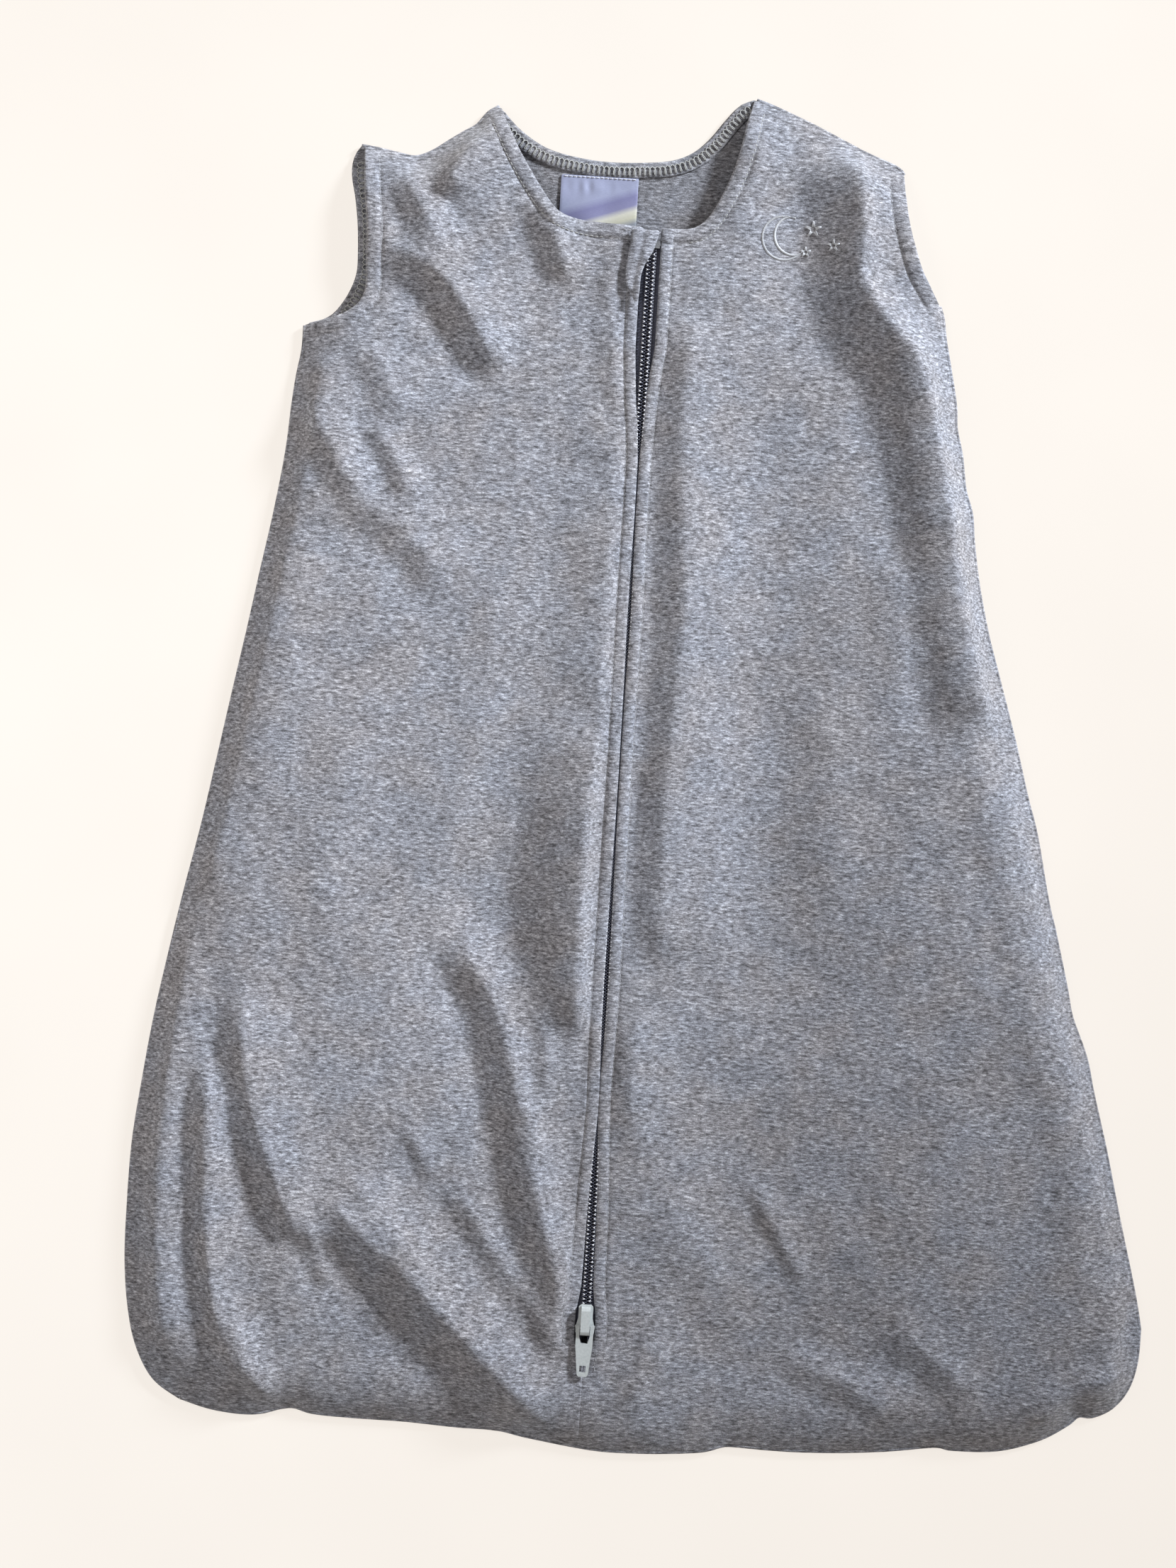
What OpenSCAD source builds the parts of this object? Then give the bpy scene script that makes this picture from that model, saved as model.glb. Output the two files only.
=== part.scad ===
// Sleeveless baby sleeping bag, lying on its back. Millimetres, +Z up, +Y towards the neck.
// The zip lies on x = 0. It closes downwards: the slider rests at its hem end.

/* [Sack] */
// Length from the hem to the higher neck point
sack_l = 661; // [600:1:720]
// Widest width, across the two bottom corners
sack_w = 496; // [450:1:550]
// Height of the middle of the zip chain over the surface
chain_z = 10; // [10:0.5:14]
// Thickness of one layer of cloth
cloth_t = 1.6; // [1.2:0.1:1.8]
// Width of the turned hem at the neck and armholes
band_w = 6.5; // [5:0.5:8]
// Width over which the front cloth drops to the seams
slope_w = 28; // [24:1:36]

/* [Zip] */
// Width of one cloth tape
tape_w = 13; // [10:0.5:15]
// Width of the two coils together
chain_w = 6; // [5.6:0.1:6.4]
// Height of a coil over its tape
coil_h = 1.7; // [1.5:0.1:1.8]
// Distance from the middle of the chain to each cloth lip
lip_x = 5.4; // [5.2:0.1:7]

/* [Slider] */
// Length of the slider body
slider_l = 15; // [13:0.5:16]
// Width of the slider body at its wide end
slider_w = 9; // [8:0.5:9.4]
// Length of the pull tab from its hinge pin to its tip
pull_l = 23.5; // [18:0.5:26]
// Width of the pull tab across its two ears
pull_w = 9.6; // [9:0.1:10.4]

/* [Trims] */
// Width of the neck label
label_w = 37.5; // [30:0.5:45]
// Length of the neck label
label_l = 31; // [24:0.5:34]
// Height of the embroidered moon
moon_h = 22; // [16:1:28]

/* [Hidden] */

kx = sack_w / 496;   // width scale of the outline
ky = sack_l / 661;   // length scale of the outline
gap = 0.3;           // clearance between loose layers
seam_w = 1.7;        // width of the rolled outer seams
inset = 2.4;         // distance from the outline to the panels
thread = 0.3;        // height of a sewn thread line
layer_gap = 0.05;    // flat cloth layers that are sewn together
fold_gap = 0.85;     // pieces that follow the front cloth, clear of its facets

back_top = cloth_t;                     // upper face of the back cloth
seam_low = back_top + gap;              // underside of the front cloth at the seams
front_high = chain_z - 0.1;             // underside of the front cloth at the zip
front_top = front_high + cloth_t;       // upper face of the front cloth at the zip

// Colours
grey_cloth = [0.60, 0.61, 0.65];
grey_hem = [0.54, 0.54, 0.57];
dark_tape = [0.24, 0.25, 0.31];
thread_grey = [0.50, 0.50, 0.53];
thread_white = [0.88, 0.88, 0.90];
silver = [0.72, 0.74, 0.75];
satin = [0.80, 0.83, 0.92];

// ---------- curves ----------
function clamp01(t) = min(1, max(0, t));
function ease(t) = let (s = clamp01(t)) s * s * (3 - 2 * s);
function lerp(a, b, t) = a + (b - a) * t;
function scaled(p) = [for (q = p) [q[0] * kx, q[1] * ky]];
function moved(p, d) = [for (q = p) q + d];
function reversed(p) = [for (i = [len(p) - 1 : -1 : 0]) p[i]];
function x_at(path, y) = lookup(y, [for (q = path) [q[1], q[0]]]);
function y_at(path, x) = lookup(x, path);
function between(a, b, c, d, t) =
    0.5 * (2 * b + (c - a) * t + (2 * a - 5 * b + 4 * c - d) * t * t + (3 * b - a - 3 * c + d) * t * t * t);
function rounded(p, n) = [
    for (i = [0 : len(p) - 2]) for (k = [0 : n - 1])
        between(p[max(i - 1, 0)], p[i], p[i + 1], p[min(i + 2, len(p) - 1)], k / n),
    p[len(p) - 1]];
function side_of(p, i) = let (a = p[max(i - 1, 0)], b = p[min(i + 1, len(p) - 1)], d = b - a)
    [-d[1], d[0]] / norm(d);
function beside(p, d) = [for (i = [0 : len(p) - 1]) p[i] + side_of(p, i) * d];
function reach(p, a, b) = let (ab = b - a, t = clamp01(((p - a) * ab) / (ab * ab))) norm(p - a - ab * t);
function reach_path(p, path) = min([for (i = [0 : len(path) - 2]) reach(p, path[i], path[i + 1])]);

// ---------- outline: key points, then smooth curves ----------
side_left = rounded(scaled([[-195, -314], [-213, -300], [-222, -272], [-226, -228], [-219, -135],
    [-203, -45], [-190, 30], [-178, 105], [-170, 165], [-166, 213]]), 3);
side_right = rounded(scaled([[222, -310], [245, -297], [263, -285], [270, -258], [256, -195],
    [239, -135], [222, -75], [197, 15], [172, 92], [157, 170], [153, 190], [142, 240]]), 3);
hem = rounded(scaled([[-226, -285], [-213, -300], [-195, -314], [-150, -318.5], [-60, -319.5], [15, -326],
    [90, -321.5], [180, -315], [222, -310], [245, -297], [270, -268]]), 3);
arm_left = rounded(scaled([[-166, 213], [-153, 217], [-144, 232], [-142, 250], [-146, 280], [-145, 300.5]]), 3);
arm_right = rounded(scaled([[142, 240], [130, 258], [123, 280], [120, 304]]), 3);
front_arm_left = rounded(scaled([[-164, 213], [-150, 216], [-138, 230], [-136.5, 250], [-139, 280],
    [-142, 300.5]]), 3);
shoulder_left = scaled([[-145, 300.5], [-78, 324]]);
shoulder_right = scaled([[120, 304], [45, 335]]);
neck_back = rounded(scaled([[-78, 324], [-60, 308.5], [-30, 300.5], [5, 302], [30, 319], [45, 335]]), 4);
neck_front_left = rounded(scaled([[-5.4, 267.5], [-25, 268.5], [-43, 272], [-60, 291], [-78, 324]]), 4);
neck_front_right = rounded(scaled([[5.4, 267.5], [22, 269], [34, 287], [45, 335]]), 4);
closed_edges = [concat(reversed(side_left), hem), side_right, shoulder_left, shoulder_right];

function edge_reach(p) = min([for (e = closed_edges) reach_path(p, e)]);
function front_z(p) = lerp(seam_low, front_high, ease((edge_reach(p) - inset) / slope_w));

// ---------- zip stations along Y ----------
zip_hem_y = -272 * ky;              // the chain ends here, under the pull tab
slider_y = zip_hem_y + 10;          // middle of the slider body
chain_top_y = 258 * ky;             // neck end of the chain, under the guard
seam_join_y = zip_hem_y - 20;       // below this the two lips are sewn together
coil_low = chain_z - 0.4;           // the coils stand on the tapes
tape_t = 0.5;
throat_y = slider_y + 2;            // the closed chain splits here, inside the slider
plate_t = 0.9;
plate_gap = 1.6;                    // distance of each slider plate from the middle of the chain
plate_top = chain_z + plate_gap + plate_t;
pin_y = slider_y - 3.5;
pin_z = plate_top + 1.6;
pin_r = 0.6;
crown_h = 4.2;
crown_w = 4.4;

function lip_at(y) = lerp(0.9, lip_x, ease((y - seam_join_y) / 18));

// ---------- builders ----------
// A sheet between an outer and an inner edge, as rows at the given y, with the front's height
module front_sheet(rows, cols, outer, inner, side) {
    function warp(y) = 1 - ease((y - rows[0]) / 46);
    function flat_point(y, u) = let (x = lerp(x_at(outer, y) + side * inset, inner(y), u))
        [x, y + warp(y) * min(inset, y_at(hem, x) + inset - rows[0])];
    flat = [for (y = rows) for (c = [0 : cols]) flat_point(y, pow(c / cols, 1.3))];
    top = [for (q = flat) [q[0], q[1], front_z(q) + cloth_t]];
    low = [for (q = top) q - [0, 0, cloth_t]];
    n = len(flat);
    w = cols + 1;
    last = len(rows) - 1;
    function quad(a, b, c, d) = side > 0 ? [[a, b, c], [a, c, d]] : [[a, c, b], [a, d, c]];
    skin = [for (r = [0 : last - 1]) for (c = [0 : cols - 1]) let (i = r * w + c)
        each quad(i, i + w, i + w + 1, i + 1)];
    lining = [for (r = [0 : last - 1]) for (c = [0 : cols - 1]) let (i = n + r * w + c)
        each quad(i, i + 1, i + w + 1, i + w)];
    rim = concat(
        [for (r = [0 : last]) r * w], [for (c = [1 : cols]) last * w + c],
        [for (r = [last - 1 : -1 : 0]) r * w + cols], [for (c = [cols - 1 : -1 : 1]) c]);
    walls = [for (k = [0 : len(rim) - 1]) let (a = rim[k], b = rim[(k + 1) % len(rim)])
        each quad(a, a + n, b + n, b)];
    polyhedron(concat(top, low), concat(skin, lining, walls), convexity = 10);
}

// A band along a path on the front cloth: from one distance beside it to another
module front_band(path, d0, d1, z0, z1) {
    a = beside(path, d0);
    b = beside(path, d1);
    n = len(path);
    points = [for (i = [0 : n - 1]) let (za = front_z(a[i]), zb = front_z(b[i]))
        each [[a[i][0], a[i][1], za + z0], [b[i][0], b[i][1], zb + z0],
              [b[i][0], b[i][1], zb + z1], [a[i][0], a[i][1], za + z1]]];
    turn = d1 > d0 ? 1 : -1;
    function quad(p, q, r, s) = turn > 0 ? [[p, q, r], [p, r, s]] : [[p, r, q], [p, s, r]];
    tube = [for (i = [0 : n - 2]) for (k = [0 : 3]) let (p = 4 * i + k, q = 4 * i + (k + 1) % 4)
        each quad(p, q, q + 4, p + 4)];
    e = 4 * (n - 1);
    polyhedron(points, concat(tube, quad(3, 2, 1, 0), quad(e, e + 1, e + 2, e + 3)), convexity = 6);
}

// A flat band along a path, from one distance beside it to another
module flat_band(path, d0, d1, z, h) {
    translate([0, 0, z])
        linear_extrude(height = h) polygon(concat(beside(path, d0), reversed(beside(path, d1))));
}

module thread_line(x, y0, y1) {
    translate([x - 0.3, y0, front_top + layer_gap]) cube([0.6, y1 - y0, thread]);
}

// ---------- cloth ----------
module back_panel() {
    hem_run = [for (q = beside(hem, inset)) if (q[0] > -190 * kx && q[0] < 216 * kx) q];
    color(grey_cloth) linear_extrude(height = cloth_t) polygon(concat(
        beside(side_left, -inset), arm_left, moved(shoulder_left, [0, -inset]),
        neck_back, moved(reversed(shoulder_right), [0, -inset]), reversed(arm_right),
        reversed(beside(side_right, inset)), reversed(hem_run)));
}

low_rows = [for (k = [0 : 19]) lerp(-300, 187, k / 19) * ky];
mid_rows = [for (y = [194, 200, 205, 209, 213, 217, 221, 225.5, 230, 235, 240, 245, 250, 254.5, 259, 263.5]) y * ky];
high_rows_left = [for (y = [267.6, 268.6, 270.2, 273, 276, 279, 283, 287, 291.5, 296, 305, 314, 321.5]) y * ky];
high_rows_right = [for (y = [267.6, 268.8, 271, 274, 277, 281, 285, 289.5, 294, 299, 304, 313, 322, 331]) y * ky];

front_edge_left = concat([for (q = side_left) if (q[1] < 212 * ky) q], front_arm_left,
    moved(shoulder_left, [0, -inset]));
front_edge_right = concat([for (q = side_right) if (q[1] < 239 * ky) q],
    [for (q = arm_right) if (q[1] < shoulder_right[0][1] - inset) q], moved(shoulder_right, [0, -inset]));

module front_panel_left() {
    inner = function (y) y < 267.5 * ky ? -lip_at(y) : x_at(neck_front_left, y);
    color(grey_cloth) front_sheet(concat(low_rows, mid_rows, high_rows_left), 14, front_edge_left, inner, 1);
}

module front_panel_right() {
    inner = function (y) y < 267.5 * ky ? lip_at(y) : x_at(neck_front_right, y);
    color(grey_cloth) front_sheet(concat(low_rows, mid_rows, high_rows_right), 14, front_edge_right, inner, -1);
}

module center_seam() {
    path = [for (y = [hem_mid_y + 3 : 4 : seam_join_y]) [0, y]];
    color(grey_hem) front_band(path, -0.6, 0.6, -0.2, cloth_t - 0.2);
}
hem_mid_y = y_at(hem, 0);

module side_seam_left() {
    color(grey_hem) flat_band([for (q = side_left) if (q[1] > -262 * ky) q], 0, -seam_w, 0, seam_low + cloth_t);
}

module side_seam_right() {
    color(grey_hem) flat_band([for (q = side_right) if (q[1] > -250 * ky) q], 0, seam_w, 0, seam_low + cloth_t);
}

module hem_seam() {
    left = [for (i = [len(side_left) - 1 : -1 : 3]) if (side_left[i][1] < -268 * ky) side_left[i]];
    right = [for (i = [3 : len(side_right) - 1]) if (side_right[i][1] < -256 * ky) side_right[i]];
    middle = [for (q = hem) if (q[0] > -212 * kx && q[0] < 243 * kx) q];
    color(grey_hem) flat_band(concat(left, middle, right), 0, seam_w, 0, seam_low + cloth_t);
}

module shoulder_seam_left() {
    color(grey_hem) flat_band([lerp(shoulder_left[0], shoulder_left[1], 0.03),
        lerp(shoulder_left[0], shoulder_left[1], 0.94)], 0, -seam_w, 0, seam_low + cloth_t);
}

module shoulder_seam_right() {
    color(grey_hem) flat_band([lerp(shoulder_right[0], shoulder_right[1], 0.03),
        lerp(shoulder_right[0], shoulder_right[1], 0.95)], 0, seam_w, 0, seam_low + cloth_t);
}

// ---------- turned hems at the neck and armholes ----------
hem_t = 1.2;
back_neck_path = [for (i = [2 : len(neck_back) - 3]) neck_back[i]];
front_neck_left_path = [for (i = [0 : len(neck_front_left) - 3]) neck_front_left[i]];
front_neck_right_path = [for (i = [0 : len(neck_front_right) - 3]) neck_front_right[i]];
function open_run(p) = [for (q = p) if (edge_reach(q) > open_reach) q];   // where the layers stand apart
open_reach = 23;

module neck_hem_back() {
    color(grey_hem) flat_band(back_neck_path, -0.3, -band_w, back_top + layer_gap, hem_t);
}

module neck_hem_front_left() {
    color(grey_hem) front_band(front_neck_left_path, 0.6, band_w, -hem_t, -fold_gap);
}

module neck_hem_front_right() {
    color(grey_hem) front_band(front_neck_right_path, -0.6, -band_w, -hem_t, -fold_gap);
}

module armhole_hem_back_left() {
    color(grey_hem) flat_band(open_run(arm_left), -0.3, -band_w, back_top + layer_gap, hem_t);
}

module armhole_hem_back_right() {
    color(grey_hem) flat_band(open_run(arm_right), 0.3, band_w, back_top + layer_gap, hem_t);
}

module armhole_hem_front_left() {
    color(grey_hem) front_band(open_run(front_arm_left),
        -inset - 0.6, -inset - band_w, -hem_t, -fold_gap);
}

module armhole_hem_front_right() {
    color(grey_hem) front_band(open_run(arm_right),
        inset + 0.6, inset + band_w, -hem_t, -fold_gap);
}

// ---------- stitching ----------
function clear_of_guard(p) = [for (q = p) if (abs(q[0]) > 13 * kx) q];

module neck_stitch_back() {
    color(thread_white)
        for (d = [-1.6, -band_w + 0.8])
            flat_band(back_neck_path, d + 0.3, d - 0.3, back_top + layer_gap + hem_t, thread);
}

module neck_stitch_front_left() {
    color(thread_grey) front_band(clear_of_guard(front_neck_left_path), band_w - 1.2, band_w - 0.6,
        cloth_t + fold_gap, cloth_t + fold_gap + thread);
}

module neck_stitch_front_right() {
    color(thread_grey) front_band(clear_of_guard(front_neck_right_path), -band_w + 1.2, -band_w + 0.6,
        cloth_t + fold_gap, cloth_t + fold_gap + thread);
}

module armhole_stitch_left() {
    color(thread_grey) front_band(open_run(front_arm_left),
        -inset - band_w + 1.2, -inset - band_w + 0.6, cloth_t + fold_gap, cloth_t + fold_gap + thread);
}

module armhole_stitch_right() {
    color(thread_grey) front_band(open_run(arm_right),
        inset + band_w - 1.2, inset + band_w - 0.6, cloth_t + fold_gap, cloth_t + fold_gap + thread);
}

topstitch_x = lip_x + 5.3;
module zip_topstitch_left() { color(thread_grey) thread_line(-topstitch_x, zip_hem_y - 6, 258 * ky); }
module zip_topstitch_right() { color(thread_grey) thread_line(topstitch_x, zip_hem_y - 6, 258 * ky); }

// ---------- zip chain ----------
tape_in = 1.4;      // the tapes' inner edges run under the coils
module tape(side) {
    y0 = zip_hem_y - 8;
    x0 = side > 0 ? tape_in : -tape_in - tape_w;
    color(dark_tape) translate([x0, y0, coil_low - tape_t]) cube([tape_w, 260.5 * ky - y0, tape_t]);
}
module zip_tape_left() { tape(-1); }
module zip_tape_right() { tape(1); }

// Below the throat the coils part round the slider's post, then meet their own end stops
coil_w = chain_w / 2 - 0.05;
function parting(y) = y > throat_y ? 0 : 1.5 * ease((throat_y - y) / 4);
module coil(side) {
    ys = concat([for (k = [0 : 6]) lerp(zip_hem_y, throat_y, k / 6)], [chain_top_y]);
    inner = [for (y = ys) [side * (0.05 + parting(y)), y]];
    outer = [for (y = ys) [side * (0.05 + parting(y) + coil_w), y]];
    translate([0, 0, coil_low]) linear_extrude(height = coil_h) polygon(concat(inner, reversed(outer)));
}
module zip_coil_left() { color(dark_tape) coil(-1); }
module zip_coil_right() { color(dark_tape) coil(1); }

module coil_stitch(side) {
    color(thread_white) translate([side * 1.9 - 0.3, slider_y + slider_l / 2 + 1, coil_low + coil_h])
        cube([0.6, chain_top_y - slider_y - slider_l / 2 - 2, 0.25]);
}
module coil_stitch_left() { coil_stitch(-1); }
module coil_stitch_right() { coil_stitch(1); }

module zip_neck_stop() {
    color(silver) difference() {
        translate([-chain_w / 2 - 1, chain_top_y + 0.3, coil_low + 0.05])
            cube([chain_w + 2, 3, coil_h + 0.5]);
        translate([-chain_w / 2 - 0.2, chain_top_y, coil_low]) cube([chain_w + 0.4, 4, coil_h - 0.5]);
    }
}

module zip_hem_stops() {
    color(silver) for (s = [-1, 1])
        translate([s * (1.55 + coil_w / 2) - coil_w / 2, zip_hem_y - 2.6, coil_low + 0.05])
            cube([coil_w, 2.3, coil_h]);
}

// ---------- slider ----------
narrow_w = slider_w - 2;
function plate_outline() = let (h = slider_l / 2) [
    [-narrow_w / 2 + 1, h], [-narrow_w / 2, h - 1], [-narrow_w / 2, 1], [-slider_w / 2, -3],
    [-slider_w / 2, -h + 1.5], [-slider_w / 2 + 1.5, -h], [slider_w / 2 - 1.5, -h], [slider_w / 2, -h + 1.5],
    [slider_w / 2, -3], [narrow_w / 2, 1], [narrow_w / 2, h - 1], [narrow_w / 2 - 1, h]];

module slider_body() {
    h = slider_l / 2;
    rail_w = 0.35;
    rail_h = 0.75;
    color(silver) translate([0, slider_y, 0]) difference() {
        union() {
            translate([0, 0, chain_z + plate_gap]) linear_extrude(height = plate_t) polygon(plate_outline());
            translate([0, 0, chain_z - plate_gap - plate_t])
                linear_extrude(height = plate_t) polygon(plate_outline());
            // post that parts the coils at the hem end
            translate([0, -h + 2.6, chain_z - plate_gap])
                linear_extrude(height = 2 * plate_gap)
                    polygon([[-0.7, -1.6], [0.7, -1.6], [1.1, 0], [0.45, 3.4], [-0.45, 3.4], [-1.1, 0]]);
            // side rails under the top plate
            for (s = [-1, 1]) translate([s * (narrow_w - rail_w) / 2 - rail_w / 2, 2.4, chain_z + plate_gap - rail_h])
                cube([rail_w, h - 3.6, rail_h]);
        }
        // slot for the lock pawl's tooth
        translate([-0.8, 1.4, chain_z + plate_gap - 0.1]) cube([1.6, 2.4, plate_t + 0.2]);
    }
}

// The crown is a bridge, open at its sides where the pull tab's pin passes
module slider_crown() {
    wall = 0.8;
    h = slider_l / 2 - 0.6;
    color(silver) translate([0, slider_y, plate_top]) difference() {
        translate([-crown_w / 2, 0, 0]) rotate([90, 0, 90]) linear_extrude(height = crown_w)
            polygon([[-h, 0], [-h, crown_h - 1.4], [-h + 0.6, crown_h - 0.5], [-h + 1.8, crown_h],
                [h - 1.8, crown_h], [h - 0.6, crown_h - 0.5], [h, crown_h - 1.4], [h, 0]]);
        translate([-crown_w / 2 + wall, -h + wall + 0.4, -0.1])
            cube([crown_w - 2 * wall, 2 * h - 2 * wall - 0.8, crown_h - wall + 0.1]);
        // side window for the pin, with room for the pin to turn
        translate([-crown_w, pin_y - slider_y - 1.1, -0.1]) cube([2 * crown_w, 2.2, pin_z - plate_top + 1.1]);
    }
}

module lock_pawl() {
    arm_y0 = pin_y - 1.6 - slider_y;
    color(silver) translate([0, slider_y, plate_top]) {
        translate([-0.6, arm_y0, 2.25]) cube([1.2, 4.6 - arm_y0 - 1, 0.25]);
        translate([-0.6, 2.3, -plate_t - 0.25]) cube([1.2, 0.6, plate_t + 2.75]);
    }
}

module pull_tab() {
    ear_in = crown_w / 2 + 0.35;
    ear_out = pull_w / 2;
    t = 1.3;
    tip = pull_l;
    color(silver) translate([0, pin_y, pin_z]) {
        difference() {
            translate([0, 0, -t / 2]) linear_extrude(height = t) difference() {
                polygon([[-ear_out, 1.2], [-ear_in, 1.2], [-ear_in, -4], [-1.6, -7.4], [1.6, -7.4],
                    [ear_in, -4], [ear_in, 1.2], [ear_out, 1.2], [ear_out - 0.6, -3], [ear_out - 0.7, -9],
                    [2.7, -tip + 1], [1.9, -tip], [-1.9, -tip], [-2.7, -tip + 1],
                    [-ear_out + 0.7, -9], [-ear_out + 0.6, -3]]);
                translate([-1.5, -tip + 2.2]) square([3, 3.2]);
            }
        }
        rotate([0, 90, 0]) cylinder(r = pin_r, h = 2 * ear_in + 1, center = true, $fn = 48);
    }
}

// ---------- guard, labels, embroidery ----------
guard_z = front_top + 0.9;
module zip_guard() {
    color(grey_cloth) translate([0, 0, guard_z]) linear_extrude(height = 1.4)
        polygon(scaled([[-9, 265], [-11, 242], [-6, 232.5], [-4.5, 246], [1, 256], [3, 265]]));
}

module guard_stitch() {
    color(thread_grey) translate([-15 * kx, 266 * ky, front_top + layer_gap]) cube([9, 0.6, thread]);
}

label_x = -27 * kx;
label_top = 292.4 * ky;
module neck_label() {
    color(satin) translate([label_x - label_w / 2, label_top - label_l, back_top + layer_gap + 0.35])
        cube([label_w, label_l, 0.4]);
}

module label_stitch() {
    color(thread_white) translate([label_x - label_w / 2 + 1, label_top + 0.15, back_top + layer_gap])
        cube([label_w - 2, 0.35, 0.8]);
}

// A crescent moon and three stars, sewn in thread
module star(r) {
    polygon([for (k = [0 : 9]) let (q = k % 2 == 0 ? r : r * 0.42) [q * sin(36 * k), q * cos(36 * k)]]);
}
module chest_embroidery() {
    r = moon_h / 2;
    color(thread_white) translate([64 * kx, 268 * ky, front_top + layer_gap]) linear_extrude(height = thread) {
        difference() {
            circle(r = r, $fn = 64);
            translate([r * 0.45, r * 0.15]) circle(r = r * 0.82, $fn = 64);
        }
        for (s = [[14, 5, 4], [24, -3, 3], [11, -6, 2.6]]) translate([s[0], s[1]]) star(s[2]);
    }
}

module care_label() {
    color(satin) translate([x_at(side_left, -30 * ky) + 10, -60 * ky, back_top + layer_gap])
        cube([16, 30, 0.4]);
}

back_panel();
front_panel_left();
front_panel_right();
center_seam();
side_seam_left();
side_seam_right();
hem_seam();
shoulder_seam_left();
shoulder_seam_right();
neck_hem_back();
neck_hem_front_left();
neck_hem_front_right();
armhole_hem_back_left();
armhole_hem_back_right();
armhole_hem_front_left();
armhole_hem_front_right();
neck_stitch_back();
neck_stitch_front_left();
neck_stitch_front_right();
armhole_stitch_left();
armhole_stitch_right();
zip_tape_left();
zip_tape_right();
zip_coil_left();
zip_coil_right();
coil_stitch_left();
coil_stitch_right();
zip_topstitch_left();
zip_topstitch_right();
zip_neck_stop();
zip_hem_stops();
slider_body();
slider_crown();
lock_pawl();
pull_tab();
zip_guard();
guard_stitch();
neck_label();
label_stitch();
chest_embroidery();
care_label();
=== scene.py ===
"""Looks of the baby sleeping bag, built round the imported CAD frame. Lengths here are millimetres until MM."""

import math

import bmesh
import bpy
import numpy as np
from mathutils import Matrix, Vector
from mathutils.geometry import delaunay_2d_cdt
from mathutils.kdtree import KDTree


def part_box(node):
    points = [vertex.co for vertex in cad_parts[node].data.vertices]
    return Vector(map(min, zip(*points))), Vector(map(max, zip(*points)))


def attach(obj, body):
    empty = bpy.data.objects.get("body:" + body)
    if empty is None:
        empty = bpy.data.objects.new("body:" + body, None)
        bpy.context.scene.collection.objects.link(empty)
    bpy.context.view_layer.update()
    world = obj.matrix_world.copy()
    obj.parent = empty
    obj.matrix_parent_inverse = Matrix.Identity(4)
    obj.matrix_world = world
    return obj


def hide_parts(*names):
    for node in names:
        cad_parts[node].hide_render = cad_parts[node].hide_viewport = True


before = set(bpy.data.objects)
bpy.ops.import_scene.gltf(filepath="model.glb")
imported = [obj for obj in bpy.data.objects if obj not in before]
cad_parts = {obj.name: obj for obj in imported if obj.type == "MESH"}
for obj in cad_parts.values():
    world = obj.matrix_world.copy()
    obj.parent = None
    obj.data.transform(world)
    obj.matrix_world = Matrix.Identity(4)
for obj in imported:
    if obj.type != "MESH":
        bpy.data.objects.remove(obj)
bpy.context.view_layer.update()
MM = 0.001


# ---------------------------------------------------------------- frame levels
def box_mm(node):
    low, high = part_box(node)
    return np.array(low) / MM, np.array(high) / MM


BACK_TOP = box_mm("back_panel")[1][2]
COIL_LOW, COIL_HIGH = (box_mm("zip_coil_left")[k][2] for k in (0, 1))
CHAIN_TOP_Y = box_mm("zip_coil_left")[1][1]
CHAIN_LOW_Y = box_mm("zip_coil_left")[0][1]
PLATEAU = box_mm("front_panel_left")[1][2]
LABEL_LOW, LABEL_HIGH = box_mm("neck_label")
SLIDER_LOW, SLIDER_HIGH = box_mm("slider_body")
SLIDER_Y = (SLIDER_LOW[1] + SLIDER_HIGH[1]) / 2
SEAM_Z = 2.9            # top of the front cloth where it meets a closed seam
CLOTH_T = 1.3           # one layer
HEM_T = 1.1             # what a turned hem adds
HEM_W = 6.5             # width of a turned hem
TOPSTITCH = 5.3         # from the zip's cloth edges to their stitching
SEAM_JOIN_Y = -291.0    # below this the two front edges are sewn together
ZIP_EDGE_TOP = 266.0    # where the zip's cloth edges end, just under the neck edge
ROLL_Z = 1.55           # middle of a rolled outer seam
ROLL_RADIUS = 1.35

# ---------------------------------------------------------------- outline, as key points
SIDE_LEFT = [(-166, 212), (-166.2, 200), (-168, 188), (-169.5, 172), (-171, 150), (-175, 120), (-180, 90),
             (-184.5, 62), (-190, 30), (-195, 0), (-201, -35), (-207, -65), (-212.5, -95), (-218, -128),
             (-222, -160), (-225, -190), (-225.6, -220), (-225, -248), (-222, -272), (-217, -290),
             (-208, -305), (-195, -313.5)]
HEM = [(-195, -313.5), (-180, -317.5), (-165, -319), (-155, -318.2), (-146, -315.4), (-139, -314.6),
       (-130, -316.8), (-110, -317.6), (-85, -317.8), (-60, -319), (-40, -319.4), (-25, -322),
       (0, -325.5), (15, -326.6), (38, -326), (60, -324), (70, -321), (76, -320.4), (100, -321),
       (125, -320.2), (150, -318), (174, -314.6), (183, -315.6), (205, -314.4), (225, -308), (238, -300),
       (243, -295.6), (250, -295.4), (259, -290.5), (266, -281), (269.4, -268), (270, -252)]
SIDE_RIGHT = [(270, -252), (266, -234), (256, -197), (248, -166), (240, -138), (235.5, -121), (227.5, -102),
              (224, -88), (217, -62), (212, -45), (205, -15), (199, 4), (191.5, 30), (182, 60), (175, 82),
              (169, 106), (165.4, 126), (163.6, 140), (159.6, 152), (157, 168), (153.6, 181), (152.6, 192),
              (149, 209), (145.6, 224), (144, 234), (142, 240)]
ARM_RIGHT = [(142, 240), (137, 247), (131, 256), (126, 270), (123, 281), (121.4, 291), (120.6, 303)]
SHOULDER_RIGHT = [(120.6, 303), (117, 306.4), (100, 313), (76, 324), (56, 332), (47, 335)]
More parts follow.
